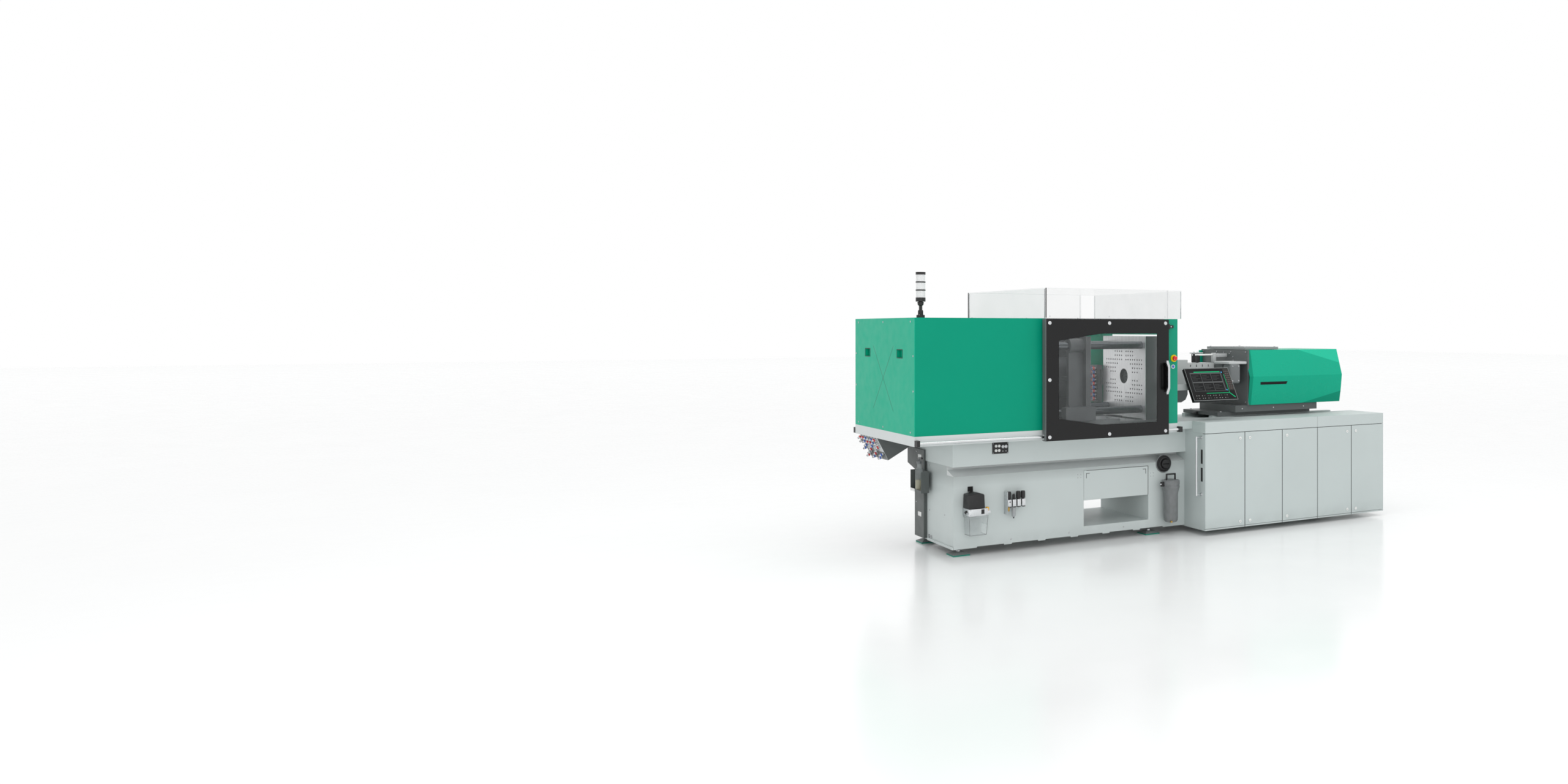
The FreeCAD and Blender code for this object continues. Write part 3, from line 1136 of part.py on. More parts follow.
def control_panel():
    housing = prism("YZ", [
        ("-panel_foot_y", "panel_foot_z"), ("-panel_foot_y + panel_thick_y", "panel_foot_z - panel_thick_z"),
        ("-panel_head_y + panel_thick_y", "panel_head_z - panel_thick_z"), ("-panel_head_y", "panel_head_z"),
    ], "panel_left", "panel_right")
    knuckle = box("knuckle_left", "knuckle_right", "-arm_y - arm_half * 3.2", "-arm_y + arm_half",
                  "arm_z - knuckle_half", "arm_z + knuckle_half")
    bore = rod("X", "knuckle_left - 1", "knuckle_right + 1", "-arm_y", "arm_z",
               "spindle_radius + running_gap")
    node("control_panel", cut(fuse(housing, knuckle), bore))
    beam = box("arm_station - arm_half", "arm_tip", "-arm_y - arm_half", "-arm_y + arm_half",
               "arm_z - arm_height / 2", "arm_z + arm_height / 2")
    hole = rod("Z", "arm_z - arm_height", "arm_z + arm_height", "arm_station", "-arm_y",
               "pin_radius + running_gap")
    spindle = rod("X", "arm_tip - 1", "spindle_end", "-arm_y", "arm_z", "spindle_radius")
    node("control_arm", fuse(cut(beam, hole), spindle))


for build in (
    base_frame, parts_tunnel, chute_flap, levelling_feet, bed_tray, end_column, oil_bottle,
    clamp_bed, fixed_platen, cylinder_platen, clamp_cylinder, clamp_piston, tie_bars, moving_platen,
    ejector_rod, parts_chute, water_manifold,
    cover_frame, clamp_cover, end_panel, post_panels, push_buttons, top_rails, door_rails, top_guard, doors,
    signal_tower, connection_box, lubrication, air_service_unit, return_filter, filler_cap,
    injection_base, hydraulic_pump, cabinet_shell, cabinet_bar, cabinet_doors,
    injection_cover, injection_carriage, barrel, plasticising_screw, injection_piston, barrel_guard,
    feed_plate, nozzle_guard, control_panel,
):
    build()

doc.recompute()
for item in doc.Objects:
    if "Invalid" in item.State or "Error" in item.State:
        raise RuntimeError(f"{item.Name} ({item.Label}) did not build: {item.State}")
for item in NODES:
    if item.Shape.isNull() or not item.Shape.isValid() or not item.Shape.Solids:
        raise RuntimeError(f"{item.Label} has no valid solid")
for item in NODES:
    item.Shape.exportStep(f"parts/{item.Label}.step")
print(len(NODES), "pieces written")
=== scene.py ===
import math

import bmesh
import bpy
from mathutils import Matrix, Vector


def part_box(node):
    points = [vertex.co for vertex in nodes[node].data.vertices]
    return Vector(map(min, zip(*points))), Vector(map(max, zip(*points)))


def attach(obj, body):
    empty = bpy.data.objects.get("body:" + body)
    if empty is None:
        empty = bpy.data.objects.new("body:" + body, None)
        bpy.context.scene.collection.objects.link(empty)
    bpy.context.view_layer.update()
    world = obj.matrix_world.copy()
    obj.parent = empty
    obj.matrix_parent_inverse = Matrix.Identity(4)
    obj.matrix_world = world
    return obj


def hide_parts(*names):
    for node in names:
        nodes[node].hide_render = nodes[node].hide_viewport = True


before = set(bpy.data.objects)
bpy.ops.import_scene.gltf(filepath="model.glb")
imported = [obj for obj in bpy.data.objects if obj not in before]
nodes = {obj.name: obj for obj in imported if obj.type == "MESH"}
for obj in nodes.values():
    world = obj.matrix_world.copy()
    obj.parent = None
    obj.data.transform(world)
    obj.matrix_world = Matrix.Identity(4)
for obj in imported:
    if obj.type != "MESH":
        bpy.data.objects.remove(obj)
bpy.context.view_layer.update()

bpy.context.scene.view_settings.view_transform = "Standard"
print("frame loaded:", len(nodes), "CAD pieces")


weld = 1e-6  # points nearer than this become one, in metres

# colour and surface helpers

def tone(red, green, blue):  # a screen colour, 0 to 255, as linear values
    channels = []
    for value in (red, green, blue):
        share = value / 255
        channels.append(share / 12.92 if share <= 0.04045 else ((share + 0.055) / 1.055) ** 2.4)
    return (*channels, 1.0)


def scaled(colour, amount):
    return (*[min(1.0, channel * amount) for channel in colour[:3]], 1.0)


def addNode(tree, kind, settings=None, inputs=None):
    node = tree.nodes.new("ShaderNode" + kind)
    for name, value in (settings or {}).items():
        setattr(node, name, value)
    for name, value in (inputs or {}).items():
        if isinstance(value, bpy.types.NodeSocket):
            tree.links.new(value, node.inputs[name])
        else:
            node.inputs[name].default_value = value
    return node


def calc(tree, operation, first, second=0.0, third=0.0):
    node = addNode(tree, "Math", {"operation": operation}, {0: first, 1: second, 2: third})
    return node.outputs[0]


def noiseOf(tree, place, size, detail=2.0, stretch=None):
    if stretch:
        place = addNode(tree, "Mapping", None, {"Vector": place, "Scale": stretch}).outputs[0]
    return addNode(tree, "TexNoise", None, {"Vector": place, "Scale": 1 / size, "Detail": detail}).outputs[0]


def levels(tree, factor, low, high, fromLow=0.3, fromHigh=0.7):
    node = addNode(tree, "MapRange", None, {"Value": factor, "From Min": fromLow, "From Max": fromHigh,
                                            "To Min": low, "To Max": high})
    return node.outputs[0]


def mixOf(tree, factor, first, second):
    node = addNode(tree, "Mix", {"data_type": "RGBA"}, {"Factor": factor})
    for socket, value in ((node.inputs[6], first), (node.inputs[7], second)):
        if isinstance(value, bpy.types.NodeSocket):
            tree.links.new(value, socket)
        else:
            socket.default_value = value
    return node.outputs[2]


def bumpOf(tree, height, distance, strength=1.0, below=None):
    inputs = {"Height": height, "Distance": distance, "Strength": strength}
    if below is not None:
        inputs["Normal"] = below
    return addNode(tree, "Bump", None, inputs).outputs[0]


def insideOf(tree, parts, limits):  # 1 inside a box given per axis, 0 outside it
    mask = None
    for axis, (low, high) in limits.items():
        hit = calc(tree, "COMPARE", parts[axis], (low + high) / 2, (high - low) / 2)
        mask = hit if mask is None else calc(tree, "MULTIPLY", mask, hit)
    return mask


def zoned(tree, parts, zones, base, roughness, metallic):  # another colour, roughness and metal inside boxes
    for limits, zoneColour, zoneRough, zoneMetal in zones:
        mask = insideOf(tree, parts, limits)
        base = mixOf(tree, mask, base, zoneColour)
        roughness = levels(tree, mask, roughness, zoneRough, 0.0, 1.0)
        metallic = levels(tree, mask, metallic, zoneMetal, 0.0, 1.0)
    return base, roughness, metallic


def openMaterial(name):
    material = bpy.data.materials.new(name)
    material.use_nodes = True
    tree = material.node_tree
    shader = tree.nodes["Principled BSDF"]
    place = addNode(tree, "TexCoord").outputs["Object"]
    split = addNode(tree, "SeparateXYZ", None, {0: place})
    parts = {axis: split.outputs[index] for index, axis in enumerate("XYZ")}
    return material, tree, shader, place, parts


def link(tree, shader, **sockets):
    for name, value in sockets.items():
        socket = shader.inputs[name.replace("_", " ")]
        if isinstance(value, bpy.types.NodeSocket):
            tree.links.new(value, socket)
        else:
            socket.default_value = value


def edgeOf(tree, radius):  # how far a rounded edge turns away from the true face, and its normal
    rounded = addNode(tree, "Bevel", {"samples": 3}, {"Radius": radius}).outputs[0]
    flat = addNode(tree, "NewGeometry").outputs["Normal"]
    turn = addNode(tree, "VectorMath", {"operation": "DOT_PRODUCT"}, {0: rounded, 1: flat}).outputs["Value"]
    return levels(tree, turn, 1.0, 0.0, 0.86, 0.995), rounded


# zones are (limits per axis in metres, colour, roughness); seams are limits of thin dark joints
def paintedSheet(name, colour, rough=0.38, zones=(), seams=(), creases=(), paintedShade=None, peel=0.0016, edge=0.0016,
                 shine=0.3):
    material, tree, shader, place, parts = openMaterial(name)
    cloud = noiseOf(tree, place, 0.55, 3.0)
    speck = noiseOf(tree, place, 0.0022, 1.0)
    base = mixOf(tree, levels(tree, cloud, 0.0, 1.0), scaled(colour, 0.975), scaled(colour, 1.02))
    base = mixOf(tree, levels(tree, speck, 0.0, 0.10, 0.35, 0.75), base, scaled(colour, 1.25))
    roughness = levels(tree, noiseOf(tree, place, 0.07, 4.0), rough - 0.05, rough + 0.06)
    for limits, zoneColour, zoneRough in zones:
        mask = insideOf(tree, parts, limits)
        grained = mixOf(tree, levels(tree, speck, 0.0, 0.16, 0.3, 0.8), zoneColour, scaled(zoneColour, 1.3))
        base = mixOf(tree, mask, base, grained)
        roughness = levels(tree, mask, roughness, zoneRough, 0.0, 1.0)
    # painted shade: the colour darkens between the two heights, most at the upper one
    if paintedShade is not None:  # a soft shade that grows between two heights
        low, high, amount = paintedShade
        base = mixOf(tree, levels(tree, parts["Z"], 0.0, amount, low, high), base, scaled(colour, 0.3))
    # darker towards the bottom, in patches
    lowDarkening = calc(tree, "MULTIPLY", levels(tree, parts["Z"], 0.30, 0.0, 0.03, 0.16),
                 levels(tree, noiseOf(tree, place, 0.11, 5.0), 0.2, 1.0))
    base = mixOf(tree, lowDarkening, base, scaled(colour, 0.45))
    worn, rounded = edgeOf(tree, edge)
    scuff = calc(tree, "MULTIPLY", worn, levels(tree, noiseOf(tree, place, 0.018, 3.0), 0.0, 0.5, 0.4, 0.7))
    base = mixOf(tree, scuff, base, scaled(colour, 1.3))
    height = calc(tree, "MULTIPLY", noiseOf(tree, place, peel, 2.0), 0.35)
    dark = None
    for limits in seams:
        mask = insideOf(tree, parts, limits)
        dark = mask if dark is None else calc(tree, "MAXIMUM", dark, mask)
    if dark is not None:
        base = mixOf(tree, calc(tree, "MULTIPLY", dark, 0.9), base, scaled(colour, 0.12))
        height = calc(tree, "SUBTRACT", height, dark)
    # each fold line is a dip in the bump, with painted shade along it
    for (firstAxis, firstAt), (secondAxis, secondAt), slope, reach in creases:  # folded lines across a panel
        across = calc(tree, "SUBTRACT", parts[firstAxis], firstAt)
        along = calc(tree, "SUBTRACT", parts[secondAxis], secondAt)
        off = calc(tree, "ABSOLUTE", calc(tree, "SUBTRACT", across, calc(tree, "MULTIPLY", along, slope)))
        near = levels(tree, off, 1.0, 0.0, 0.0018, 0.0055)
        near = calc(tree, "MULTIPLY", near, levels(tree, calc(tree, "ABSOLUTE", along), 1.0, 0.0, reach, reach + 0.01))
        height = calc(tree, "SUBTRACT", height, calc(tree, "MULTIPLY", near, 1.6))
        base = mixOf(tree, calc(tree, "MULTIPLY", near, 0.85), base, scaled(colour, 0.25))
    link(tree, shader, Base_Color=base, Roughness=roughness, Normal=bumpOf(tree, height, 0.0004, 0.8, rounded),
         Specular_IOR_Level=shine)
    return material


def metalFinish(name, colour, rough=0.25, stretch=(1, 60, 60), lines=0.012, depth=0.00012, zones=(), edge=0.0012):
    material, tree, shader, place, parts = openMaterial(name)
    brush = noiseOf(tree, place, lines, 4.0, stretch)
    cloud = noiseOf(tree, place, 0.18, 3.0)
    base = mixOf(tree, levels(tree, brush, 0.0, 1.0), scaled(colour, 0.86), scaled(colour, 1.08))
    base = mixOf(tree, levels(tree, cloud, 0.0, 0.22), base, scaled(colour, 0.72))
    roughness = levels(tree, brush, rough - 0.07, rough + 0.10)
    base, roughness, metallic = zoned(tree, parts, zones, base, roughness, 1.0)
    worn, rounded = edgeOf(tree, edge)
    base = mixOf(tree, calc(tree, "MULTIPLY", worn, 0.35), base, scaled(colour, 1.3))
    link(tree, shader, Base_Color=base, Roughness=roughness, Metallic=metallic,
         Normal=bumpOf(tree, brush, depth, 0.6, rounded))
    return material


def castFinish(name, colour, rough=0.55, grain=0.006, depth=0.0009, zones=()):
    material, tree, shader, place, parts = openMaterial(name)
    lumps = noiseOf(tree, place, grain, 5.0)
    cloud = noiseOf(tree, place, 0.16, 3.0)
    base = mixOf(tree, levels(tree, cloud, 0.0, 1.0), scaled(colour, 0.8), scaled(colour, 1.2))
    roughness = levels(tree, lumps, rough - 0.1, rough + 0.1)
    base, roughness, metallic = zoned(tree, parts, zones, base, roughness, 0.0)
    worn, rounded = edgeOf(tree, 0.004)
    base = mixOf(tree, calc(tree, "MULTIPLY", worn, 0.3), base, scaled(colour, 2.2))
    link(tree, shader, Base_Color=base, Roughness=roughness, Metallic=metallic,
         Normal=bumpOf(tree, lumps, depth, 0.7, rounded))
    return material


def mouldedPlastic(name, colour, rough=0.42, grain=0.0011, depth=0.00015, glow=None, shine=0.45):
    material, tree, shader, place = openMaterial(name)[:4]
    texture = noiseOf(tree, place, grain, 3.0)
    cloud = noiseOf(tree, place, 0.05, 3.0)
    base = mixOf(tree, levels(tree, cloud, 0.0, 1.0), scaled(colour, 0.88), scaled(colour, 1.12))
    roughness = levels(tree, cloud, rough - 0.05, rough + 0.08)
    worn, rounded = edgeOf(tree, 0.001)
    base = mixOf(tree, calc(tree, "MULTIPLY", worn, 0.25), base, scaled(colour, 1.8))
    link(tree, shader, Base_Color=base, Roughness=roughness, Normal=bumpOf(tree, texture, depth, 0.6, rounded),
         Specular_IOR_Level=shine)
    if glow:
        link(tree, shader, Emission_Color=glow, Emission_Strength=0.35)
    return material


def clearSheet(name, colour, alpha, rough=0.04, ribs=None, ribDepth=0.0006):
    material, tree, shader, place = openMaterial(name)[:4]
    haze = noiseOf(tree, place, 0.22, 4.0)
    scratch = noiseOf(tree, place, 0.0009, 2.0, (1, 1, 0.02))
    base = mixOf(tree, levels(tree, haze, 0.0, 1.0), scaled(colour, 0.94), colour)
    roughness = levels(tree, haze, rough, rough + 0.05)
    height = calc(tree, "MULTIPLY", scratch, 0.05)
    if ribs:
        wave = addNode(tree, "TexWave", {"bands_direction": "Z"}, {"Vector": place, "Scale": ribs})
        height = calc(tree, "ADD", height, wave.outputs["Fac"])
    link(tree, shader, Base_Color=base, Roughness=roughness, IOR=1.49,
         Alpha=levels(tree, haze, alpha * 0.88, min(1.0, alpha * 1.12)),
         Normal=bumpOf(tree, height, ribDepth, 0.4))
    return material


# shape helpers: each part is made on its own, then joined into the piece's mesh

def atStation(station):  # a distance from the clamp cover's left end, in mm, as a place in metres
    return (station - 2257) / 1000


def rectangle(left, right, low, high):
    return [(left, low), (right, low), (right, high), (left, high)]


def spanOf(first, last, low, high):  # a rectangle between two stations
    return rectangle(atStation(first), atStation(last), low, high)


def closeRings(part, rings):  # a closed four-sided bar between two rings of points
    for index in range(4):
        after = (index + 1) % 4
        part.faces.new((rings[0][index], rings[0][after], rings[1][after], rings[1][index]))
    part.faces.new(rings[0][::-1])
    part.faces.new(rings[1])


def movedVerts(grown):  # the points of a freshly extruded face
    return [item for item in grown if isinstance(item, bmesh.types.BMVert)]


def joinPart(target, part, materialIndex=0):
    bmesh.ops.recalc_face_normals(part, faces=part.faces)
    for face in part.faces:
        face.material_index = materialIndex
    scratch = bpy.data.meshes.new("part")
    part.to_mesh(scratch)
    part.free()
    target.from_mesh(scratch)
    bpy.data.meshes.remove(scratch)


def softenEdges(part, width, segments=2, angle=0.6):
    edges = [edge for edge in part.edges if len(edge.link_faces) == 2 and edge.calc_face_angle(0.0) > angle]
    if width > 0 and edges:
        bmesh.ops.bevel(part, geom=edges, offset=width, offset_type="OFFSET", segments=segments, profile=0.5,
                        affect="EDGES", material=-1, clamp_overlap=True)


def addBlock(target, low, high, soft=0.0, index=0, turn=None):
    part = bmesh.new()
    size = [top - bottom for bottom, top in zip(low, high)]
    centre = Vector([(top + bottom) / 2 for bottom, top in zip(low, high)])
    bmesh.ops.create_cube(part, size=1.0, matrix=Matrix.Diagonal((*size, 1.0)))
    softenEdges(part, soft)
    spot = Matrix.Translation(centre)
    bmesh.ops.transform(part, matrix=spot @ turn if turn else spot, verts=part.verts)
    joinPart(target, part, index)


def addBlocks(target, *blocks):  # each: two stations, two depths, two heights, softness, material
    for stations, depths, heights, *rest in blocks:
        low, high = zip(map(atStation, stations), depths, heights)
        addBlock(target, low, high, *rest)


facing = {
    "+X": Matrix.Rotation(math.radians(90), 4, "Y"), "-X": Matrix.Rotation(math.radians(-90), 4, "Y"),
    "+Y": Matrix.Rotation(math.radians(-90), 4, "X"), "-Y": Matrix.Rotation(math.radians(90), 4, "X"),
    "+Z": Matrix.Identity(4), "-Z": Matrix.Rotation(math.radians(180), 4, "X"),
}


def turnPart(target, part, spot, way, index):
    turn = facing[way] if isinstance(way, str) else way
    bmesh.ops.transform(part, matrix=Matrix.Translation(spot) @ turn, verts=part.verts)
    joinPart(target, part, index)


def addLathe(target, outline, spot, way="+Z", steps=24, index=0):  # outline is (radius, height) pairs
    part = bmesh.new()
    points = [part.verts.new((radius, 0, height)) for radius, height in outline]
    edges = [part.edges.new(pair) for pair in zip(points, points[1:])]
    bmesh.ops.spin(part, geom=points + edges, cent=(0, 0, 0), axis=(0, 0, 1), angle=math.tau, steps=steps,
                   use_merge=True)
    bmesh.ops.remove_doubles(part, verts=part.verts, dist=weld)
    turnPart(target, part, spot, way, index)


def addRing(target, inner, outer, height, spot, way="+Z", steps=24, index=0):  # a plain rod where inner is 0
    addLathe(target, [(inner, 0), (outer, 0), (outer, height), (inner, height)], spot, way, steps, index)


def addScrew(target, spot, way, radius, height, index=0):
    inner = radius * 0.42
    outline = [(0, 0), (radius, 0), (radius, height * 0.55), (radius * 0.86, height * 0.9), (radius * 0.7, height),
               (inner, height), (inner * 0.9, height * 0.45), (0, height * 0.45)]
    addLathe(target, outline, spot, way, 18 if radius > 0.008 else 12, index)


def addHex(target, spot, way, radius, height, index=0):
    part = bmesh.new()
    bmesh.ops.create_cone(part, cap_ends=True, segments=6, radius1=radius, radius2=radius, depth=height)
    softenEdges(part, height * 0.08, 1)
    bmesh.ops.translate(part, vec=(0, 0, height / 2), verts=part.verts)
    turnPart(target, part, spot, way, index)


def addOutline(target, corners, plane, low, high, soft=0.0, rim=0.0, index=0, round_=0.0):
    part = bmesh.new()
    points = [part.verts.new((first, second, 0)) for first, second in corners]
    part.faces.new(points)
    if round_ > 0:
        bmesh.ops.bevel(part, geom=part.verts[:], offset=round_, offset_type="OFFSET", segments=5, profile=0.5,
                        affect="VERTICES", material=-1)
    if rim > 0:
        bmesh.ops.inset_region(part, faces=part.faces[:], thickness=rim, use_boundary=True, use_even_offset=True)
        middle = [face for face in part.faces if all(not edge.is_boundary for edge in face.edges)]
        bmesh.ops.delete(part, geom=middle, context="FACES")
    grown = bmesh.ops.extrude_face_region(part, geom=part.faces[:])["geom"]
    bmesh.ops.translate(part, vec=(0, 0, high - low), verts=movedVerts(grown))
    bmesh.ops.remove_doubles(part, verts=part.verts, dist=weld)
    bmesh.ops.recalc_face_normals(part, faces=part.faces)
    softenEdges(part, soft, 2)
    bmesh.ops.translate(part, vec=(0, 0, low), verts=part.verts)
    # the outline's two axes and its depth, as columns
    columns = {"XZ": ((1, 0, 0), (0, 0, 1), (0, 1, 0)), "YZ": ((0, 1, 0), (0, 0, 1), (1, 0, 0)),
               "XY": ((1, 0, 0), (0, 1, 0), (0, 0, 1))}[plane]
    bmesh.ops.transform(part, matrix=Matrix(columns).transposed().to_4x4(), verts=part.verts)
    joinPart(target, part, index)


def finishPiece(name, shape, materials, body, smooth=True):
    bmesh.ops.remove_doubles(shape, verts=shape.verts, dist=1e-7)
    mesh = bpy.data.meshes.new(name)
    shape.to_mesh(mesh)
    shape.free()
    for material in materials:
        mesh.materials.append(material)
    piece = bpy.data.objects.new(name, mesh)
    bpy.context.scene.collection.objects.link(piece)
    if smooth:
        mesh.shade_smooth()
        mesh.set_sharp_from_angle(angle=math.radians(32))
    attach(piece, body)
    return piece


def dress(nodeName, material):
    target = nodes[nodeName]
    for slot in target.material_slots:
        slot.material = material
    if not target.material_slots:
        target.data.materials.append(material)


# finishes
green, silverGrey, cabinetGrey = tone(0, 146, 116), tone(198, 206, 205), tone(191, 200, 199)
# the hood's green and the end panel's green are lighter copies of the cover's green: painted light on those faces
hoodGreen = tone(0, 166, 133)
bright, steel, doorBlack = tone(222, 224, 225), tone(150, 153, 155), tone(18, 18, 19)
greenSheet = paintedSheet("greenSheet", green, 0.34, shine=0.13)
hoodSheet = paintedSheet("hoodSheet", hoodGreen, 0.3, shine=0.2)
endSheet = paintedSheet("endSheet", tone(0, 170, 136), 0.38, shine=0.16, creases=[
    (("Y", 0.0), ("Z", 1.335), 0.9, 0.235), (("Y", 0.0), ("Z", 1.335), -0.9, 0.235)])
greySheet = paintedSheet("greySheet", silverGrey, 0.42)
flapSheet = paintedSheet("flapSheet", silverGrey, 0.42, seams=[
    {"X": (-0.117, -0.1125), "Y": (-0.366, -0.36), "Z": (0.33, 0.60)},
    {"X": (-0.70, -0.1125), "Y": (-0.366, -0.36), "Z": (0.5705, 0.5735)}])
# base front: painted shade darkening the front towards the tray above it, and the first zone is a painted light that
# lifts the tray's shadow off the sloped shoulder under it
baseSheet = paintedSheet("baseSheet", silverGrey, 0.42, paintedShade=(0.515, 0.5995, 0.34), zones=[
    ({"X": (-1.9, 0.4), "Y": (-0.3655, -0.24), "Z": (0.6005, 0.6725)}, tone(243, 246, 246), 0.42)], seams=[
    {"X": (-1.845, -1.8435), "Y": (-0.40, -0.30), "Z": (0.05, 0.60)}])
doorJoints = [{"X": (joint - 0.0035, joint + 0.0035), "Y": (-0.67, -0.63), "Z": (0.04, 0.8435)}
              for joint in (0.663, 1.067, 1.466, 1.866)]
topJoint = {"X": (0.25, 2.26), "Y": (-0.67, -0.63), "Z": (0.8395, 0.8440)}
cabinetSheet = paintedSheet("cabinetSheet", cabinetGrey, 0.42, seams=[
    {"X": (1.4648, 1.4672), "Y": (-0.70, -0.20), "Z": (0.83, 0.94)}, *doorJoints, topJoint])
doorSheet = paintedSheet("doorSheet", cabinetGrey, 0.40, seams=[*doorJoints, topJoint])
bandSheet = paintedSheet("bandSheet", tone(206, 211, 211), 0.34)
postSheet = paintedSheet("postSheet", green, 0.38, zones=[
    ({"X": (-0.09, 0.0), "Y": (-0.66, -0.6365), "Z": (1.42, 1.51)}, tone(236, 214, 0), 0.35),
    ({"X": (-0.09, 0.0), "Y": (-0.66, -0.6365), "Z": (1.37, 1.42)}, tone(232, 234, 236), 0.3),
    ({"X": (-0.0045, 0.12), "Y": (-0.45, -0.36), "Z": (1.17, 1.26)}, tone(60, 62, 63), 0.5)])
blackDoor = paintedSheet("blackDoor", doorBlack, 0.3, shine=0.32, zones=[
    *[({"X": (-1.2505, -1.2440), "Y": depths, "Z": (0.84, 1.80)}, tone(96, 100, 101), 0.4)
      for depths in ((-0.72, -0.60), (0.60, 0.72))],
    *[({"X": (-0.219, -0.144), "Y": depths, "Z": (1.21, 1.44)}, tone(12, 12, 12), 0.25)
      for depths in ((-0.7035, -0.66), (0.66, 0.7035))],
    ({"X": (-0.19, -0.13), "Y": (0.707, 0.75), "Z": (1.15, 1.47)}, tone(214, 216, 218), 0.3)])
darkSheet = paintedSheet("darkSheet", tone(92, 96, 96), 0.42)
columnSheet = paintedSheet("columnSheet", tone(88, 93, 92), 0.42)
lightSheet = paintedSheet("lightSheet", tone(188, 191, 191), 0.36, zones=[
    ({"X": (0.0, 0.41), "Y": (-0.25, 0.25), "Z": (1.05, 1.216)}, tone(104, 107, 108), 0.4)])
armSheet = paintedSheet("armSheet", tone(178, 181, 181), 0.36)
plateSheet = paintedSheet("plateSheet", tone(140, 144, 144), 0.4)
footSheet = paintedSheet("footSheet", tone(124, 129, 129), 0.42)
zincSheet = metalFinish("zincSheet", tone(196, 199, 200), 0.3, (1, 1, 1), 0.035, 0.0001)
railMetal = metalFinish("railMetal", bright, 0.16, (1, 40, 40), 0.01, zones=[
    ({"X": ends, "Y": (-0.72, 0.72), "Z": (0.8, 1.0)}, tone(26, 26, 27), 0.5, 0.0)
    for ends in ((-2.26, -2.2328), (-0.0112, 0.02))])
# the first zone is painted shade: dark inside the fixed platen's holes and recesses behind its face
platenSteel = metalFinish("platenSteel", tone(236, 237, 238), 0.42, (1, 1, 0.02), 0.02, 0.00012, zones=[
    ({"X": (-0.1212, -0.0915), "Y": (-0.33, 0.33), "Z": (0.97, 1.64)}, tone(34, 35, 36), 0.5, 0.3),
    ({"X": (-0.118, 0.05), "Y": (-0.345, -0.3385), "Z": (0.9, 1.7)}, tone(86, 89, 90), 0.5, 0.2)])
castBody = castFinish("castBody", tone(78, 81, 83), 0.5, zones=[
    ({"X": (-0.6458, -0.64), "Y": (-0.35, 0.35), "Z": (0.9, 1.7)}, tone(206, 207, 208), 0.3, 0.9)])
castBed = castFinish("castBed", tone(104, 107, 108), 0.5)
darkBar = metalFinish("darkBar", tone(92, 96, 99), 0.26, (1, 30, 30), 0.012)
turnedSteel = metalFinish("turnedSteel", steel, 0.3, (40, 1, 1), 0.01)
handleMetal = metalFinish("handleMetal", tone(216, 218, 220), 0.26, (1, 1, 20), 0.008)
couplingMetal = metalFinish("couplingMetal", tone(196, 198, 200), 0.22, (1, 1, 1), 0.01)
redCap = mouldedPlastic("redCap", tone(214, 38, 40), 0.3)
blueCap = mouldedPlastic("blueCap", tone(56, 96, 184), 0.3)
yellowCap = mouldedPlastic("yellowCap", tone(240, 178, 20), 0.35)
blackPlastic = mouldedPlastic("blackPlastic", tone(30, 30, 31), 0.45)
glossBlack = mouldedPlastic("glossBlack", tone(12, 12, 13), 0.3, shine=0.2)
greyPlastic = mouldedPlastic("greyPlastic", tone(118, 121, 122), 0.4)
whitePlastic = mouldedPlastic("whitePlastic", tone(232, 233, 231), 0.35)
sealRubber = mouldedPlastic("sealRubber", tone(48, 50, 51), 0.7, 0.0008)
padRubber = mouldedPlastic("padRubber", tone(20, 122, 104), 0.6, 0.002, 0.0003)
windowPane = clearSheet("windowPane", tone(196, 202, 202), 0.05, 0.03)
hoodPane = clearSheet("hoodPane", tone(200, 208, 208), 0.15, 0.03)
clearPlastic = clearSheet("clearPlastic", tone(206, 214, 214), 0.24, 0.06)
lampPane = clearSheet("lampPane", tone(240, 241, 242), 0.62, 0.15, 30.0, 0.001)
liquid = clearSheet("liquid", tone(214, 204, 160), 0.5, 0.02)
lampCore = mouldedPlastic("lampCore", tone(246, 246, 244), 0.5, glow=tone(255, 255, 250))
print("finishes ready")

for material, names in (
    (baseSheet, "base_frame"), (greySheet, "parts_tunnel bed_tray"), (flapSheet, "chute_flap"),
    (footSheet, "levelling_feet"), (padRubber, "foot_pads"), (columnSheet, "end_column"),
    (clearPlastic, "oil_bottle lubrication_tank"), (castBed, "clamp_bed cylinder_platen"),
    (platenSteel, "fixed_platen"), (turnedSteel, "clamp_cylinder ejector_rod plasticising_screw barrel"),
    (railMetal, "clamp_piston door_rails injection_piston"), (darkBar, "tie_bars"), (castBody, "moving_platen"),
    (zincSheet, "parts_chute"),
    (darkSheet, "water_manifold top_rails connection_box hydraulic_pump injection_carriage"),
    (bandSheet, "cover_frame"), (greenSheet, "clamp_cover"), (endSheet, "end_panel"), (postSheet, "post_panels"),
    (hoodPane, "top_guard"), (blackDoor, "safety_door_frame rear_door_frame"),
    (windowPane, "safety_door_panes rear_door_panes"),
    (handleMetal, "safety_door_handle cabinet_bar air_service_unit"),
    (blackPlastic, "signal_tower filler_cap lubrication_pump"), (lampPane, "signal_lenses"),
    (cabinetSheet, "injection_base cabinet_shell"), (plateSheet, "feed_plate"),
    (lightSheet, "barrel_guard nozzle_guard"), (armSheet, "control_arm"), (glossBlack, "control_panel"),
    (redCap, "estop_button"), (blueCap, "start_button"), (greyPlastic, "return_filter"),
    (couplingMetal, "connection_couplings"), (hoodSheet, "injection_cover"),
    (doorSheet, "cabinet_door_1 cabinet_door_2 cabinet_door_3 cabinet_door_4 cabinet_door_5"),
):
    for nodeName in names.split():
        dress(nodeName, material)
print("CAD pieces dressed")


# screws and grips of the clamp cover's end
coverScrews = {"radius": 0.0075, "height": 0.0026, "across": (-0.56, 0.0, 0.56), "rows": (0.966, 1.755),
               "edges": (-0.612, 0.612), "levels": (1.26, 1.51)}


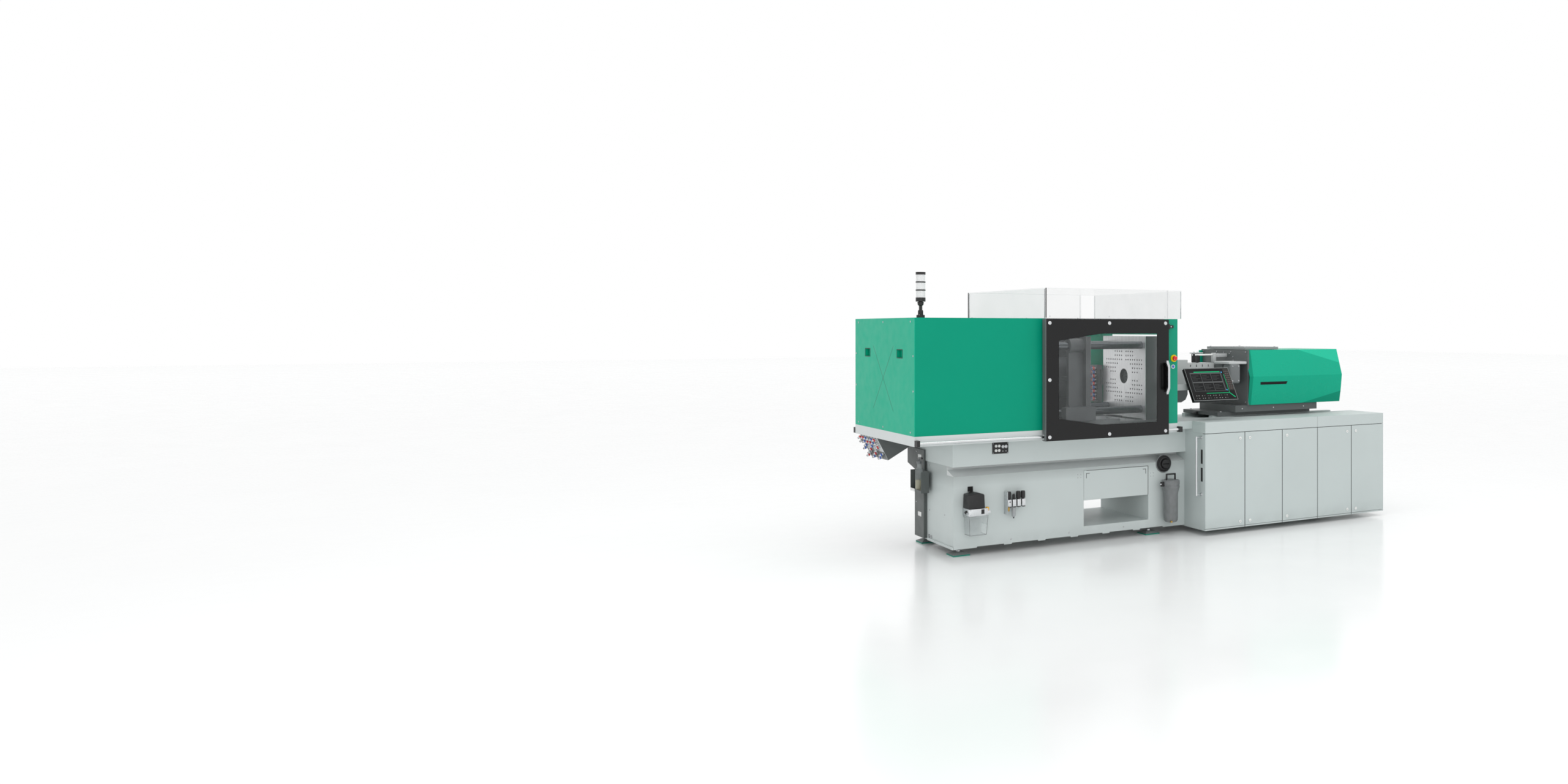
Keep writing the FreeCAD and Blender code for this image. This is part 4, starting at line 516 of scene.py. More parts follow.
def makeCoverScrews():
    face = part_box("end_panel")[0].x
    shape = bmesh.new()
    spots = [(y, z) for z in coverScrews["rows"] for y in coverScrews["across"]]
    spots += [(y, z) for y in coverScrews["edges"] for z in coverScrews["levels"]]
    for y, z in spots:
        addScrew(shape, (face, y, z), "-X", coverScrews["radius"], coverScrews["height"])
    finishPiece("coverScrews", shape, [couplingMetal], "machine")
    shape = bmesh.new()  # lining of the two grips
    for centre in (-0.345, 0.345):
        corners = rectangle(centre - 0.059, centre + 0.059, 1.489, 1.555)
        addOutline(shape, corners, "YZ", face - 0.0012, face, 0.0004, 0.0045, 0, 0.004)
    finishPiece("gripRims", shape, [blackPlastic], "machine")


makeCoverScrews()

# screw caps and window seals of the two sliding doors
doorTrim = {"face": 0.706, "sealWidth": 0.007, "sealProud": 0.0012, "capRadius": 0.0145,
            "caps": ((1.748, (1043, 1566, 2088)), (1.320, (1043,)), (0.891, (1043, 1566, 2088))),
            "glass": ((1120, 1.026), (1492, 0.967), (2007, 0.967), (2007, 1.667), (1492, 1.667), (1120, 1.615))}


def makeDoorTrim(side, body):
    way, sign = ("-Y", -1) if side == "front" else ("+Y", 1)
    face = sign * doorTrim["face"]
    caps = bmesh.new()
    for level, stations in doorTrim["caps"]:
        for station in stations:
            spot = (atStation(station), face, level)
            addLathe(caps, [(0, 0), (doorTrim["capRadius"], 0), (doorTrim["capRadius"], 0.0012),
                            (0.0132, 0.0032), (0.0095, 0.0042), (0.0075, 0.0045), (0.0070, 0.0034),
                            (0, 0.0032)], spot, way, 24)
    finishPiece(f"{side}DoorCaps", caps, [handleMetal], body)
    corners = [(atStation(station), level) for station, level in doorTrim["glass"]]
    seal = bmesh.new()
    ends = sorted((face, face + sign * doorTrim["sealProud"]))
    addOutline(seal, corners, "XZ", ends[0], ends[1], 0.0004, doorTrim["sealWidth"])
    finishPiece(f"{side}WindowSeal", seal, [sealRubber], body)
    rim = bmesh.new()  # oval rim round the finger cup
    corners = rectangle(-0.2245, -0.1405, 1.2125, 1.4355)
    addOutline(rim, corners, "XZ", ends[0], ends[1] + (0.0006 if sign > 0 else 0), 0.0004, 0.0055, 0, 0.034)
    finishPiece(f"{side}CupRim", rim, [glossBlack], body)
    hook = bmesh.new()  # lock tongue
    ends = sorted((sign * 0.640, sign * 0.700))
    addBlock(hook, (-0.1370, ends[0], 1.700), (-0.1210, ends[1], 1.742), 0.003)
    finishPiece(f"{side}DoorTongue", hook, [blackPlastic], body)


makeDoorTrim("front", "safety_door")
makeDoorTrim("rear", "rear_door")

# emergency stop and start button
stopHead = {"outline": [(0, 0), (0.0195, 0), (0.0200, 0.003), (0.0200, 0.009), (0.0185, 0.0140),
                        (0.0145, 0.0172), (0.008, 0.0179), (0, 0.018)]}


def makeButtons():
    low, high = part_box("estop_button")
    x, z = (low.x + high.x) / 2, (low.z + high.z) / 2
    shape = bmesh.new()
    addLathe(shape, stopHead["outline"], (x, low.y + 0.018, z), "-Y", 36)
    addRing(shape, 0, 0.0108, 0.03, (x, low.y + 0.047, z), "-Y", 24)
    for angle in range(0, 360, 120):  # grip notches
        turn = Matrix.Rotation(math.radians(angle), 4, "Y")
        spot = Vector((x, low.y + 0.001, z)) + turn @ Vector((0, 0, 0.0135))
        addBlock(shape, (spot.x - 0.0045, spot.y - 0.0006, spot.z - 0.0012),
                 (spot.x + 0.0045, spot.y + 0.0010, spot.z + 0.0012), 0.0004, 1)
    piece = finishPiece("stopMushroom", shape, [redCap, whitePlastic], "estop")
    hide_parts("estop_button")
    low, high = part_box("start_button")
    x, z = (low.x + high.x) / 2, (low.z + high.z) / 2
    shape = bmesh.new()
    addLathe(shape, [(0, 0), (0.0108, 0), (0.0108, 0.0245), (0.0100, 0.0285), (0.0070, 0.0290), (0, 0.0290)],
             (x, low.y + 0.029, z), "-Y", 32)
    piece = finishPiece("startLens", shape, [blueCap], "start")
    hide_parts("start_button")


makeButtons()

# signal tower: screws, collar, top cap and the light cores
tower = {"core": 0.021, "post": 0.0122, "lensStep": 0.058}


def makeTower():
    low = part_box("signal_tower")[0]
    lensLow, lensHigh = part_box("signal_lenses")
    x, y = (lensLow.x + lensHigh.x) / 2, (lensLow.y + lensHigh.y) / 2
    shape = bmesh.new()
    for index in range(3):
        bottom = lensLow.z + index * tower["lensStep"]
        addLathe(shape, [(0.0125, 0.002), (tower["core"], 0.002), (tower["core"], 0.048), (0.0125, 0.048)],
                 (x, y, bottom), "+Z", 24)
    finishPiece("lampCores", shape, [lampCore], "machine")
    shape = bmesh.new()
    for angle in range(45, 405, 90):
        spot = (x + 0.0225 * math.cos(math.radians(angle)), y + 0.0225 * math.sin(math.radians(angle)),
                low.z + 0.020)
        addScrew(shape, spot, "+Z", 0.0035, 0.0025)
    post = tower["post"]
    addLathe(shape, [(post, 0), (0.0190, 0), (0.0190, 0.03), (0.0150, 0.036), (post, 0.036)],
             (x, y, low.z + 0.02), "+Z", 24, 1)
    addLathe(shape, [(post, 0), (0.0200, 0.004), (0.0235, 0.026), (post, 0.030)], (x, y, 1.870), "+Z", 24, 1)
    finishPiece("towerTrim", shape, [couplingMetal, blackPlastic], "machine")


makeTower()
print("covers and doors done")

# coloured quick couplings: on the water manifold and on the connection box
fitting = {"collar": [(0.0, 0.0), (0.0095, 0.0), (0.0095, 0.0300), (0.0080, 0.0330), (0.0080, 0.0395),
                      (0.0052, 0.0398), (0.0052, 0.030), (0.0, 0.030)],
           "ring": [(0.0096, 0.015), (0.0124, 0.0165), (0.0124, 0.0245), (0.0096, 0.026)]}


def makeManifoldFittings():
    shape = bmesh.new()
    bottom, top = 1.062 + 0.030, 1.387 - 0.030
    for row in range(9):
        for column in range(3):
            spot = (-0.172, 0.352 + 0.028 + 0.044 * column, bottom + (top - bottom) * row / 8)
            addLathe(shape, [(0.0102, 0), (0.0150, 0), (0.0150, 0.012), (0.0125, 0.014), (0.0125, 0.0395),
                             (0.0102, 0.0395)], spot, "-X", 14, 2)
            addLathe(shape, [(0.0126, 0.022), (0.0160, 0.0235), (0.0160, 0.0335), (0.0126, 0.035)], spot, "-X", 14,
                     (column + row) % 2 if column < 2 else 2)
    finishPiece("manifoldRings", shape, [redCap, blueCap, couplingMetal], "machine")


def makeBoxFittings():
    low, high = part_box("connection_box")
    left, leftLow, top, bottom = atStation(26), atStation(121), 0.869, 0.684
    slope = math.atan2(top - bottom, leftLow - left)
    turn = Matrix.Rotation(math.pi + slope, 4, "Y")
    shape = bmesh.new()
    for row in range(6):
        for column in range(6):
            if (row + column) % 2 and row >= 2:
                continue
            share = (row + 0.6) / 6.4
            spot = Vector((left + (leftLow - left) * share, 0.222 + 0.388 * (column + 0.5) / 6,
                           top - (top - bottom) * share))
            addHex(shape, spot, turn, 0.0128, 0.0075, 2)
            addLathe(shape, fitting["collar"], spot, turn, 14, 2)
            addLathe(shape, fitting["ring"], spot, turn, 14, (0, 1, 2, 1, 0)[(row * 2 + column) % 5])
    piece = finishPiece("boxFittings", shape, [redCap, blueCap, couplingMetal], "machine")
    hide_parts("connection_couplings")
    shape = bmesh.new()  # light sloping plate that carries the couplings
    sheet = ((left, top - 0.001), (leftLow, bottom + 0.002))
    corners = [(x + thick, z) for (x, z), pair in zip(sheet, ((-0.0005, 0.0015), (0.0015, -0.0005))) for thick in pair]
    addOutline(shape, corners, "XZ", low.y - 0.001, high.y + 0.001)
    finishPiece("socketSheet", shape, [bandSheet], "machine")
    shape = bmesh.new()
    for level in (0.04, 0.96):
        spot = Vector((left + (leftLow - left) * level, 0.416, top - (top - bottom) * level))
        for across in (-0.180, 0.180):
            addScrew(shape, spot + Vector((0, across, 0)), turn, 0.0055, 0.003)
    finishPiece("boxScrews", shape, [couplingMetal], "machine")


makeManifoldFittings()
makeBoxFittings()

# levelling feet: hex nuts
feet = {"nut": 0.021, "nutHeight": 0.010, "level": 0.0285, "spots": (
    ((484, 2196), (-0.290, 0.330)), ((3300, 4150), (-0.110, 0.330)))}


def makeFeetNuts():
    shape = bmesh.new()
    for stations, depths in feet["spots"]:
        for y in depths:
            for station in stations:
                addHex(shape, (atStation(station), y, feet["level"]), "+Z", feet["nut"], feet["nutHeight"])
    finishPiece("feetNuts", shape, [couplingMetal], "machine")


makeFeetNuts()

# base front: socket panel, sight window, flap slots and hem, screws
socketPanel = {"x": (723, 857), "z": (0.754, 0.840), "depth": 0.004}


def makeSocketPanel():
    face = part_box("bed_tray")[0].y
    left, right = atStation(socketPanel["x"][0]), atStation(socketPanel["x"][1])
    low, high = socketPanel["z"]
    shape = bmesh.new()
    addOutline(shape, rectangle(left, right, low, high), "XZ", face - socketPanel["depth"], face, 0.0008, 0.0, 0,
               0.004)
    middle, front = (low + high) / 2, face - socketPanel["depth"]
    for x in (left + 0.030, left + 0.056):
        for z in (middle + 0.016, middle - 0.018):
            addLathe(shape, [(0, 0), (0.0108, 0), (0.0108, 0.0022), (0.0085, 0.0028), (0.0080, 0.0010),
                             (0, 0.0010)], (x, front, z), "-Y", 20, 1)
    for x in (right - 0.046, right - 0.020):
        addLathe(shape, [(0, 0), (0.0125, 0), (0.0125, 0.003), (0.0102, 0.0036), (0.0098, 0.0012), (0, 0.0012)],
                 (x, front, middle + 0.010), "-Y", 20, 2)
        addScrew(shape, (x, front, middle - 0.024), "-Y", 0.0042, 0.0018, 2)
    for x in (left + 0.007, right - 0.007):
        for z in (low + 0.007, high - 0.007):
            addScrew(shape, (x, front, z), "-Y", 0.0032, 0.0012, 2)
    finishPiece("socketPlate", shape, [blackPlastic, whitePlastic, couplingMetal], "machine")


def makeBaseTrim():
    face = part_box("base_frame")[0].y
    shape = bmesh.new()  # sight window of the oil level
    corners = spanOf(527, 570, 0.482, 0.520)
    addOutline(shape, corners, "XZ", face - 0.004, face, 0.0008, 0.005, 0, 0.003)
    addOutline(shape, corners, "XZ", face - 0.0012, face, 0.0, 0.0, 1, 0.003)
    finishPiece("sightWindow", shape, [blackPlastic, glossBlack], "machine")
    shape = bmesh.new()
    for station in (889, 1397, 1905):
        addScrew(shape, (atStation(station), face, 0.092), "-Y", 0.0065, 0.003)
    for stations, heights in (((1478, 1504), (0.545, 0.520)), ((2170, 2194), (0.512, 0.487))):
        for station in stations:
            for level in heights:
                addScrew(shape, (atStation(station), face, level), "-Y", 0.0036, 0.0016)
    for y, z in ((0.096, 0.640), (0.096, 0.294), (-0.20, 0.294)):
        addScrew(shape, (atStation(414), y, z), "-X", 0.006, 0.003)
    for y, z in ((0.300, 0.735), (0.300, 0.335)):
        addScrew(shape, (atStation(385), y, z), "-X", 0.005, 0.003)
    for y in (0.10, 0.06):
        addRing(shape, 0.008, 0.013, 0.004, (atStation(413.5), y, 0.090), "-X")
    finishPiece("baseScrews", shape, [couplingMetal], "machine")
    shape = bmesh.new()  # the flap's two hook slots and its folded lower edge
    top = 0.573
    for station, reach in ((1556, 0.030), (2122, -0.030)):
        x = atStation(station)
        addBlock(shape, (x - 0.0022, face - 0.0005, top - 0.062), (x + 0.0022, face + 0.002, top - 0.022), 0.0004)
        ends = sorted((x, x + reach))
        addBlock(shape, (ends[0], face - 0.0005, top - 0.0262), (ends[1], face + 0.002, top - 0.022), 0.0004)
    finishPiece("flapSlots", shape, [blackPlastic], "flap")
    shape = bmesh.new()
    addBlocks(shape, ((1536, 2142), (face + 0.0065, face + 0.020), (0.338, 0.341), 0.0006))
    finishPiece("flapHem", shape, [greySheet], "flap")


makeSocketPanel()
makeBaseTrim()

# lubrication unit and bottle
lubrication = {"front": -0.489, "rimLow": 0.296, "rimHigh": 0.3128}
baseFace = -0.3655  # just inside the front plate of the base


def makeLubrication():
    tankLow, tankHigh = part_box("lubrication_tank")
    front = lubrication["front"]
    shape = bmesh.new()
    addOutline(shape, spanOf(486, 640, 0.313, 0.3665), "XZ", front, baseFace, 0.003, 0.0, 0, 0.004)
    addOutline(shape, spanOf(636, 663, 0.326, 0.3480), "XZ", front + 0.004, baseFace, 0.002, 0.0, 0, 0.004)
    addBlocks(shape, ((583, 608), (front - 0.0020, front), (0.327, 0.361), 0.0008, 1),
              ((587, 604), (front - 0.0045, front - 0.001), (0.331, 0.357), 0.0015, 1))
    for station in (496, 629):
        for level in (0.321, 0.358):
            addScrew(shape, (atStation(station), front, level), "-Y", 0.0038, 0.002, 2)
    cap = ((486, 0.3665), (617, 0.3665), (612, 0.471), (555, 0.485), (491, 0.470))
    addOutline(shape, [(atStation(x), z) for x, z in cap], "XZ", -0.485, -0.368, 0.007, 0.0, 1)
    addLathe(shape, [(0, 0), (0.014, 0), (0.014, 0.005), (0.011, 0.0065), (0.011, 0.012), (0, 0.012)],
             (atStation(486), -0.439, 0.339), "-X", 20, 1)
    for y in (-0.415, -0.463):
        addLathe(shape, [(0, 0), (0.006, 0), (0.006, 0.008), (0.004, 0.009), (0.004, 0.012), (0, 0.012)],
                 (atStation(486), y, 0.335), "-X", 12, 2)
    addLathe(shape, [(0, 0), (0.0140, 0), (0.0140, 0.021), (0.0110, 0.024), (0, 0.024)],
             (atStation(643), -0.461, 0.348), "+Z", 20, 3)
    piece = finishPiece("lubricationPump", shape, [handleMetal, blackPlastic, couplingMetal, yellowCap],
                        "machine")
    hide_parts("lubrication_pump")
    shape = bmesh.new()  # the tank's moulded rim
    rim = rectangle(tankLow.x - 0.003, tankHigh.x + 0.003, tankLow.y - 0.003, -0.370)
    addOutline(shape, rim, "XY", lubrication["rimLow"], lubrication["rimHigh"], 0.0012, 0.006, 0, 0.008)
    finishPiece("tankRim", shape, [clearPlastic], "machine")
    shape = bmesh.new()  # the tank's darker corner edges
    for start, end in (((tankLow.x, tankLow.y), (tankLow.x + 0.010, tankLow.y + 0.010)),
                       ((tankHigh.x, tankLow.y), (tankHigh.x - 0.010, tankLow.y + 0.010))):
        part = bmesh.new()
        rings = [[part.verts.new((x + dx, y + dy, z)) for dx, dy in rectangle(-0.0012, 0.0012, -0.0012, 0.0012)]
                 for (x, y), z in ((end, 0.1675), (start, 0.3120))]
        closeRings(part, rings)
        joinPart(shape, part)
    addBlock(shape, (tankLow.x + 0.010, tankLow.y + 0.009, 0.1672), (tankHigh.x - 0.010, tankLow.y + 0.0115, 0.1700))
    addBlock(shape, (tankLow.x + 0.009, tankLow.y + 0.010, 0.1672), (tankLow.x + 0.0115, -0.378, 0.1700))
    addBlock(shape, (tankHigh.x - 0.0115, tankLow.y + 0.010, 0.1672), (tankHigh.x - 0.009, -0.378, 0.1700))
    finishPiece("tankEdges", shape, [greyPlastic], "machine")


def makeBottle():
    low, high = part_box("oil_bottle")
    x, y = (low.x + high.x) / 2, (low.y + high.y) / 2
    shape = bmesh.new()
    addLathe(shape, [(0, 0), (0.0185, 0), (0.0190, 0.003), (0.0190, 0.020), (0.0165, 0.023), (0.0055, 0.024),
                     (0.0055, 0.046), (0, 0.046)], (x, y, high.z - 0.018), "+Z", 24)
    addBlock(shape, (x - 0.004, y - 0.040, 0.6930), (x + 0.004, y + 0.008, 0.7010), 0.002)
    addBlock(shape, (x - 0.006, y - 0.070, 0.6900), (x + 0.006, y - 0.038, 0.7040), 0.003, 1)
    finishPiece("bottleCap", shape, [greyPlastic, blackPlastic], "machine")
    shape = bmesh.new()
    addRing(shape, 0, 0.0285, 0.085, (x, y, low.z + 0.003), "+Z", 32)
    finishPiece("bottleOil", shape, [liquid], "machine")
    shape = bmesh.new()  # light lip of the holder, and the plates seen in the column's two windows
    front = atStation(385 - 66)
    addBlock(shape, (front - 0.0014, 0.170, 0.4345), (front, 0.2615, 0.4560), 0.0005)
    for level in (0.226, 0.677):
        addBlocks(shape, ((389, 391), (0.2015, 0.2845), (level, level + 0.037)))
    finishPiece("holderTrim", shape, [whitePlastic], "machine")


makeLubrication()
makeBottle()
print("base trim done")

# compressed-air service unit
airUnit = {"left": 833.5, "step": 39.5, "middle": -0.412, "knobTop": (0.463, 0.443, 0.463, 0.463)}


def makeAirUnit():
    middle = airUnit["middle"]
    shape = bmesh.new()
    addBlocks(shape, ((829.5, 832), (-0.430, baseFace), (0.290, 0.463), 0.0006),
              ((832, 980), (-0.4035, baseFace), (0.366, 0.388), 0.002, 2))
    for index, top in enumerate(airUnit["knobTop"]):
        left = atStation(airUnit["left"] + airUnit["step"] * index)
        centre = left + 0.015
        addBlock(shape, (left, -0.430, 0.350), (left + 0.030, -0.394, 0.404), 0.003)
        addBlock(shape, (left + 0.004, -0.4312, 0.344), (left + 0.026, -0.396, 0.351), 0.001, 1)
        radius = 0.0165 if index != 1 else 0.0095
        addLathe(shape, [(0, 0), (0.0115, 0), (0.0115, 0.004), (radius, 0.006), (radius, top - 0.409),
                         (radius - 0.002, top - 0.404), (0, top - 0.404)], (centre, middle, 0.404), "+Z", 20, 1)
        for flute in range(12):
            angle = math.tau * flute / 12
            spot = (centre + radius * 0.97 * math.cos(angle), middle + radius * 0.97 * math.sin(angle), 0.412)
            addRing(shape, 0, 0.0011, top - 0.420, spot, "+Z", 6, 1)
        if index < 3:
            addBlock(shape, (left + 0.0295, -0.425, 0.360), (left + 0.0400, -0.398, 0.395), 0.0008, 1)
    centre = atStation(airUnit["left"] + airUnit["step"]) + 0.015
    addLathe(shape, [(0, 0), (0.0045, 0), (0.0055, 0.010), (0, 0.012)], (centre, middle, 0.2585), "+Z", 16, 1)
    addLathe(shape, [(0, 0.008), (0.006, 0.009), (0.0150, 0.018), (0.0158, 0.026), (0.0158, 0.090), (0, 0.090)],
             (centre, middle, 0.2585), "+Z", 24, 3)
    centre = atStation(airUnit["left"]) + 0.015  # drain tube, valve and brass nipple at the left block
    addRing(shape, 0, 0.0042, 0.036, (centre, middle, 0.3110), "+Z", 12, 2)
    addLathe(shape, [(0, 0), (0.0050, 0), (0.0050, 0.006), (0.0066, 0.008), (0.0066, 0.030), (0, 0.030)],
             (atStation(836), -0.4345, 0.3180), "+Z", 12, 5)
    addRing(shape, 0, 0.0048, 0.003, (centre, -0.4300, 0.386), "-Y", 16, 1)
    piece = finishPiece("airUnit", shape, [handleMetal, blackPlastic, couplingMetal, smokedPlastic, whitePlastic,
                                           brass], "machine")
    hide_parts("air_service_unit")


smokedPlastic = clearSheet("smokedPlastic", tone(170, 174, 176), 0.75, 0.1)
brass = metalFinish("brass", tone(196, 160, 84), 0.28, (1, 1, 1), 0.01)
makeAirUnit()

# return filter with its loop handle, and the ribbed filler cap
def makeFilter():
    x, y = atStation(2320), -0.440
    shape = bmesh.new()
    addLathe(shape, [(0, 0), (0.030, 0), (0.050, 0.006), (0.0575, 0.018), (0.0590, 0.232), (0.0600, 0.236),
                     (0.0600, 0.244), (0.0720, 0.286), (0.0738, 0.292), (0.0738, 0.300), (0.0715, 0.302),
                     (0.0715, 0.312), (0.0738, 0.314), (0.0738, 0.345), (0.0700, 0.350), (0, 0.350)],
             (x, y, 0.105), "+Z", 40)
    for angle in range(0, 360, 30):  # ribs on the bowl
        a = math.radians(angle + 15)
        spot = (x + 0.0578 * math.cos(a), y + 0.0578 * math.sin(a), 0.135)
        addLathe(shape, [(0, 0), (0.0022, 0.002), (0.0022, 0.190), (0, 0.192)], spot, "+Z", 6)
    for angle in range(30, 390, 60):
        a = math.radians(angle)
        addHex(shape, (x + 0.060 * math.cos(a), y + 0.060 * math.sin(a), 0.4545), "+Z", 0.0055, 0.004, 2)
    addBlock(shape, (x - 0.030, y, 0.396), (x + 0.030, baseFace, 0.452), 0.003)
    for left, right in ((x - 0.048, x - 0.036), (x + 0.036, x + 0.048)):
        addBlock(shape, (left, y - 0.0065, 0.4550), (right, y + 0.0065, 0.5000), 0.004, 1)
    addBlock(shape, (x - 0.048, y - 0.0075, 0.4955), (x + 0.048, y + 0.0075, 0.5080), 0.005, 1)
    addBlock(shape, (x - 0.098, y - 0.012, 0.405), (x - 0.066, y + 0.014, 0.442), 0.004, 1)
    addRing(shape, 0, 0.010, 0.012, (x - 0.098, y, 0.424), "-X", 16, 2)
    addRing(shape, 0, 0.0075, 0.014, (x - 0.035, y - 0.052, 0.118), "-Y", 16, 3)
    piece = finishPiece("filterBody", shape, [greyPlastic, blackPlastic, couplingMetal, brass], "machine")
    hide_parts("return_filter")


def makeFillerCap():
    low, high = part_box("filler_cap")
    x, z, back = (low.x + high.x) / 2, (low.z + high.z) / 2, high.y
    shape = bmesh.new()
    addLathe(shape, [(0, 0), (0.0680, 0), (0.0680, 0.010), (0.0655, 0.013), (0.0600, 0.014), (0.0560, 0.0215),
                     (0.0480, 0.024), (0.0440, 0.0235), (0.0400, 0.017), (0.0385, 0.017), (0.0375, 0.036),
                     (0.0345, 0.0395), (0, 0.040)], (x, back, z), "-Y", 48)
    for index in range(28):
        a = math.tau * index / 28
        addLathe(shape, [(0, 0), (0.0026, 0.001), (0.0022, 0.0085), (0, 0.009)],
                 (x + 0.0600 * math.cos(a), back - 0.0125, z + 0.0600 * math.sin(a)), "-Y", 6)
    addBlock(shape, (x - 0.031, back - 0.0400, z - 0.0055), (x + 0.031, back - 0.0375, z + 0.0055), 0.0015, 1)
    piece = finishPiece("fillerKnob", shape, [blackPlastic, glossBlack], "cap")
    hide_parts("filler_cap")
    ring = bmesh.new()
    addLathe(ring, [(0.0690, 0), (0.0770, 0), (0.0770, 0.004), (0.0750, 0.006), (0.0690, 0.006)],
             (x, back, z), "-Y", 48)
    finishPiece("fillerRing", ring, [greyPlastic], "machine")


makeFilter()
makeFillerCap()

# cabinet end: slots, recess outline, lock slots
cabinetTrim = {"slots": ((0.589, 0.713), (0.443, 0.564)), "slotY": (-0.634, -0.600),
               "edges": (2509, 2920, 3324, 3723, 4123, 4514), "joint": 1.5, "lockInset": 50,
               "lockAtRight": (True, False, False, True, False)}
louvre = {"stations": (2680, 3580), "width": 0.40, "count": 14, "step": 0.032}


def makeCabinetTrim():
    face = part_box("cabinet_shell")[0].x
    shape = bmesh.new()
    for levelPair in cabinetTrim["slots"]:
        corners = rectangle(*cabinetTrim["slotY"], *levelPair)
        addOutline(shape, corners, "YZ", face - 0.0012, face, 0.0004, 0.0, 0, 0.003)
        addOutline(shape, corners, "YZ", face - 0.0022, face, 0.0004, 0.0035, 1, 0.003)
    corners = rectangle(-0.640, -0.483, 0.842, 0.920)
    addOutline(shape, corners, "YZ", face - 0.0009, face, 0.0003, 0.0025, 1, 0.012)
    for z in (0.340, 0.810):
        addLathe(shape, [(0.0078, 0), (0.0140, 0), (0.0140, 0.003), (0.0100, 0.006), (0.0078, 0.006)],
                 (face, -0.610, z), "-X", 24, 2)
    finishPiece("cabinetSlots", shape, [blackPlastic, cabinetSheet, handleMetal], "machine")
    edges, joint, inset = cabinetTrim["edges"], cabinetTrim["joint"], cabinetTrim["lockInset"]
    for index, atRight in enumerate(cabinetTrim["lockAtRight"]):
        low, high = edges[index] + (joint if index else 0), edges[index + 1] - (joint if index < 4 else 0)
        station = high - inset if atRight else low + inset
        lock = bmesh.new()
        for level in (0.095, 0.790):
            spot = (atStation(station), -0.667, level)
            addLathe(lock, [(0, 0), (0.0128, 0), (0.0128, 0.0006), (0.0112, 0.0016), (0.0060, 0.0018),
                            (0.0055, 0.0006), (0, 0.0006)], spot, "-Y", 24, 1)
            addBlock(lock, (spot[0] - 0.0046, spot[1] - 0.0012, level - 0.0013),
                     (spot[0] + 0.0046, spot[1] - 0.0002, level + 0.0013), 0.0002, 0)
        finishPiece(f"doorLock{index + 1}", lock, [blackPlastic, whitePlastic], f"cabinet_door_{index + 1}")
    shape = bmesh.new()  # louvres for the pump, on the rear of the injection unit's base
    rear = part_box("injection_base")[1].y
    for station in louvre["stations"]:
        start = atStation(station)
        addOutline(shape, rectangle(start - 0.02, start + 0.42, 0.24, 0.72), "XZ", rear, rear + 0.003, 0.0006, 0.012,
                   0, 0.006)
        for index in range(louvre["count"]):
            level = 0.262 + index * louvre["step"]
            addBlock(shape, (start, rear, level), (start + louvre["width"], rear + 0.0055, level + 0.010), 0.0022)
            addBlock(shape, (start + 0.004, rear - 0.001, level - 0.006), (start + 0.396, rear + 0.0012, level), 0.0, 1)
        for x in (start - 0.010, start + 0.410):
            for z in (0.252, 0.708):
                addScrew(shape, (x, rear + 0.003, z), "+Y", 0.005, 0.0025, 2)
    finishPiece("rearLouvres", shape, [cabinetSheet, blackPlastic, couplingMetal], "machine")


makeCabinetTrim()
print("cabinets done")

# folded green hood over the injection unit
hood = {"top": 1.518, "mid": 1.285, "low": 1.036, "topHalf": 0.300, "midHalf": 0.370, "lowHalf": 0.348,
        "wall": 0.003, "slot": ((3328, 1.212), (3622, 1.212), (3635, 1.236), (3328, 1.236)),
        "over": ((3207, 1.518), (3262, 1.518), (3801, 1.518), (4280, 1.518)),
        "under": ((3207, 1.036), (3232, 1.036), (3812, 1.036), (4272, 1.036)),
        "back": ((4280, 1.518), (4282, 1.392), (4284, 1.285), (4280, 1.134), (4272, 1.036))}


def hoodColumn(part, station, levels, halves, side):
    return [part.verts.new((atStation(x), side * half, z)) for x, z, half in zip(station, levels, halves)]


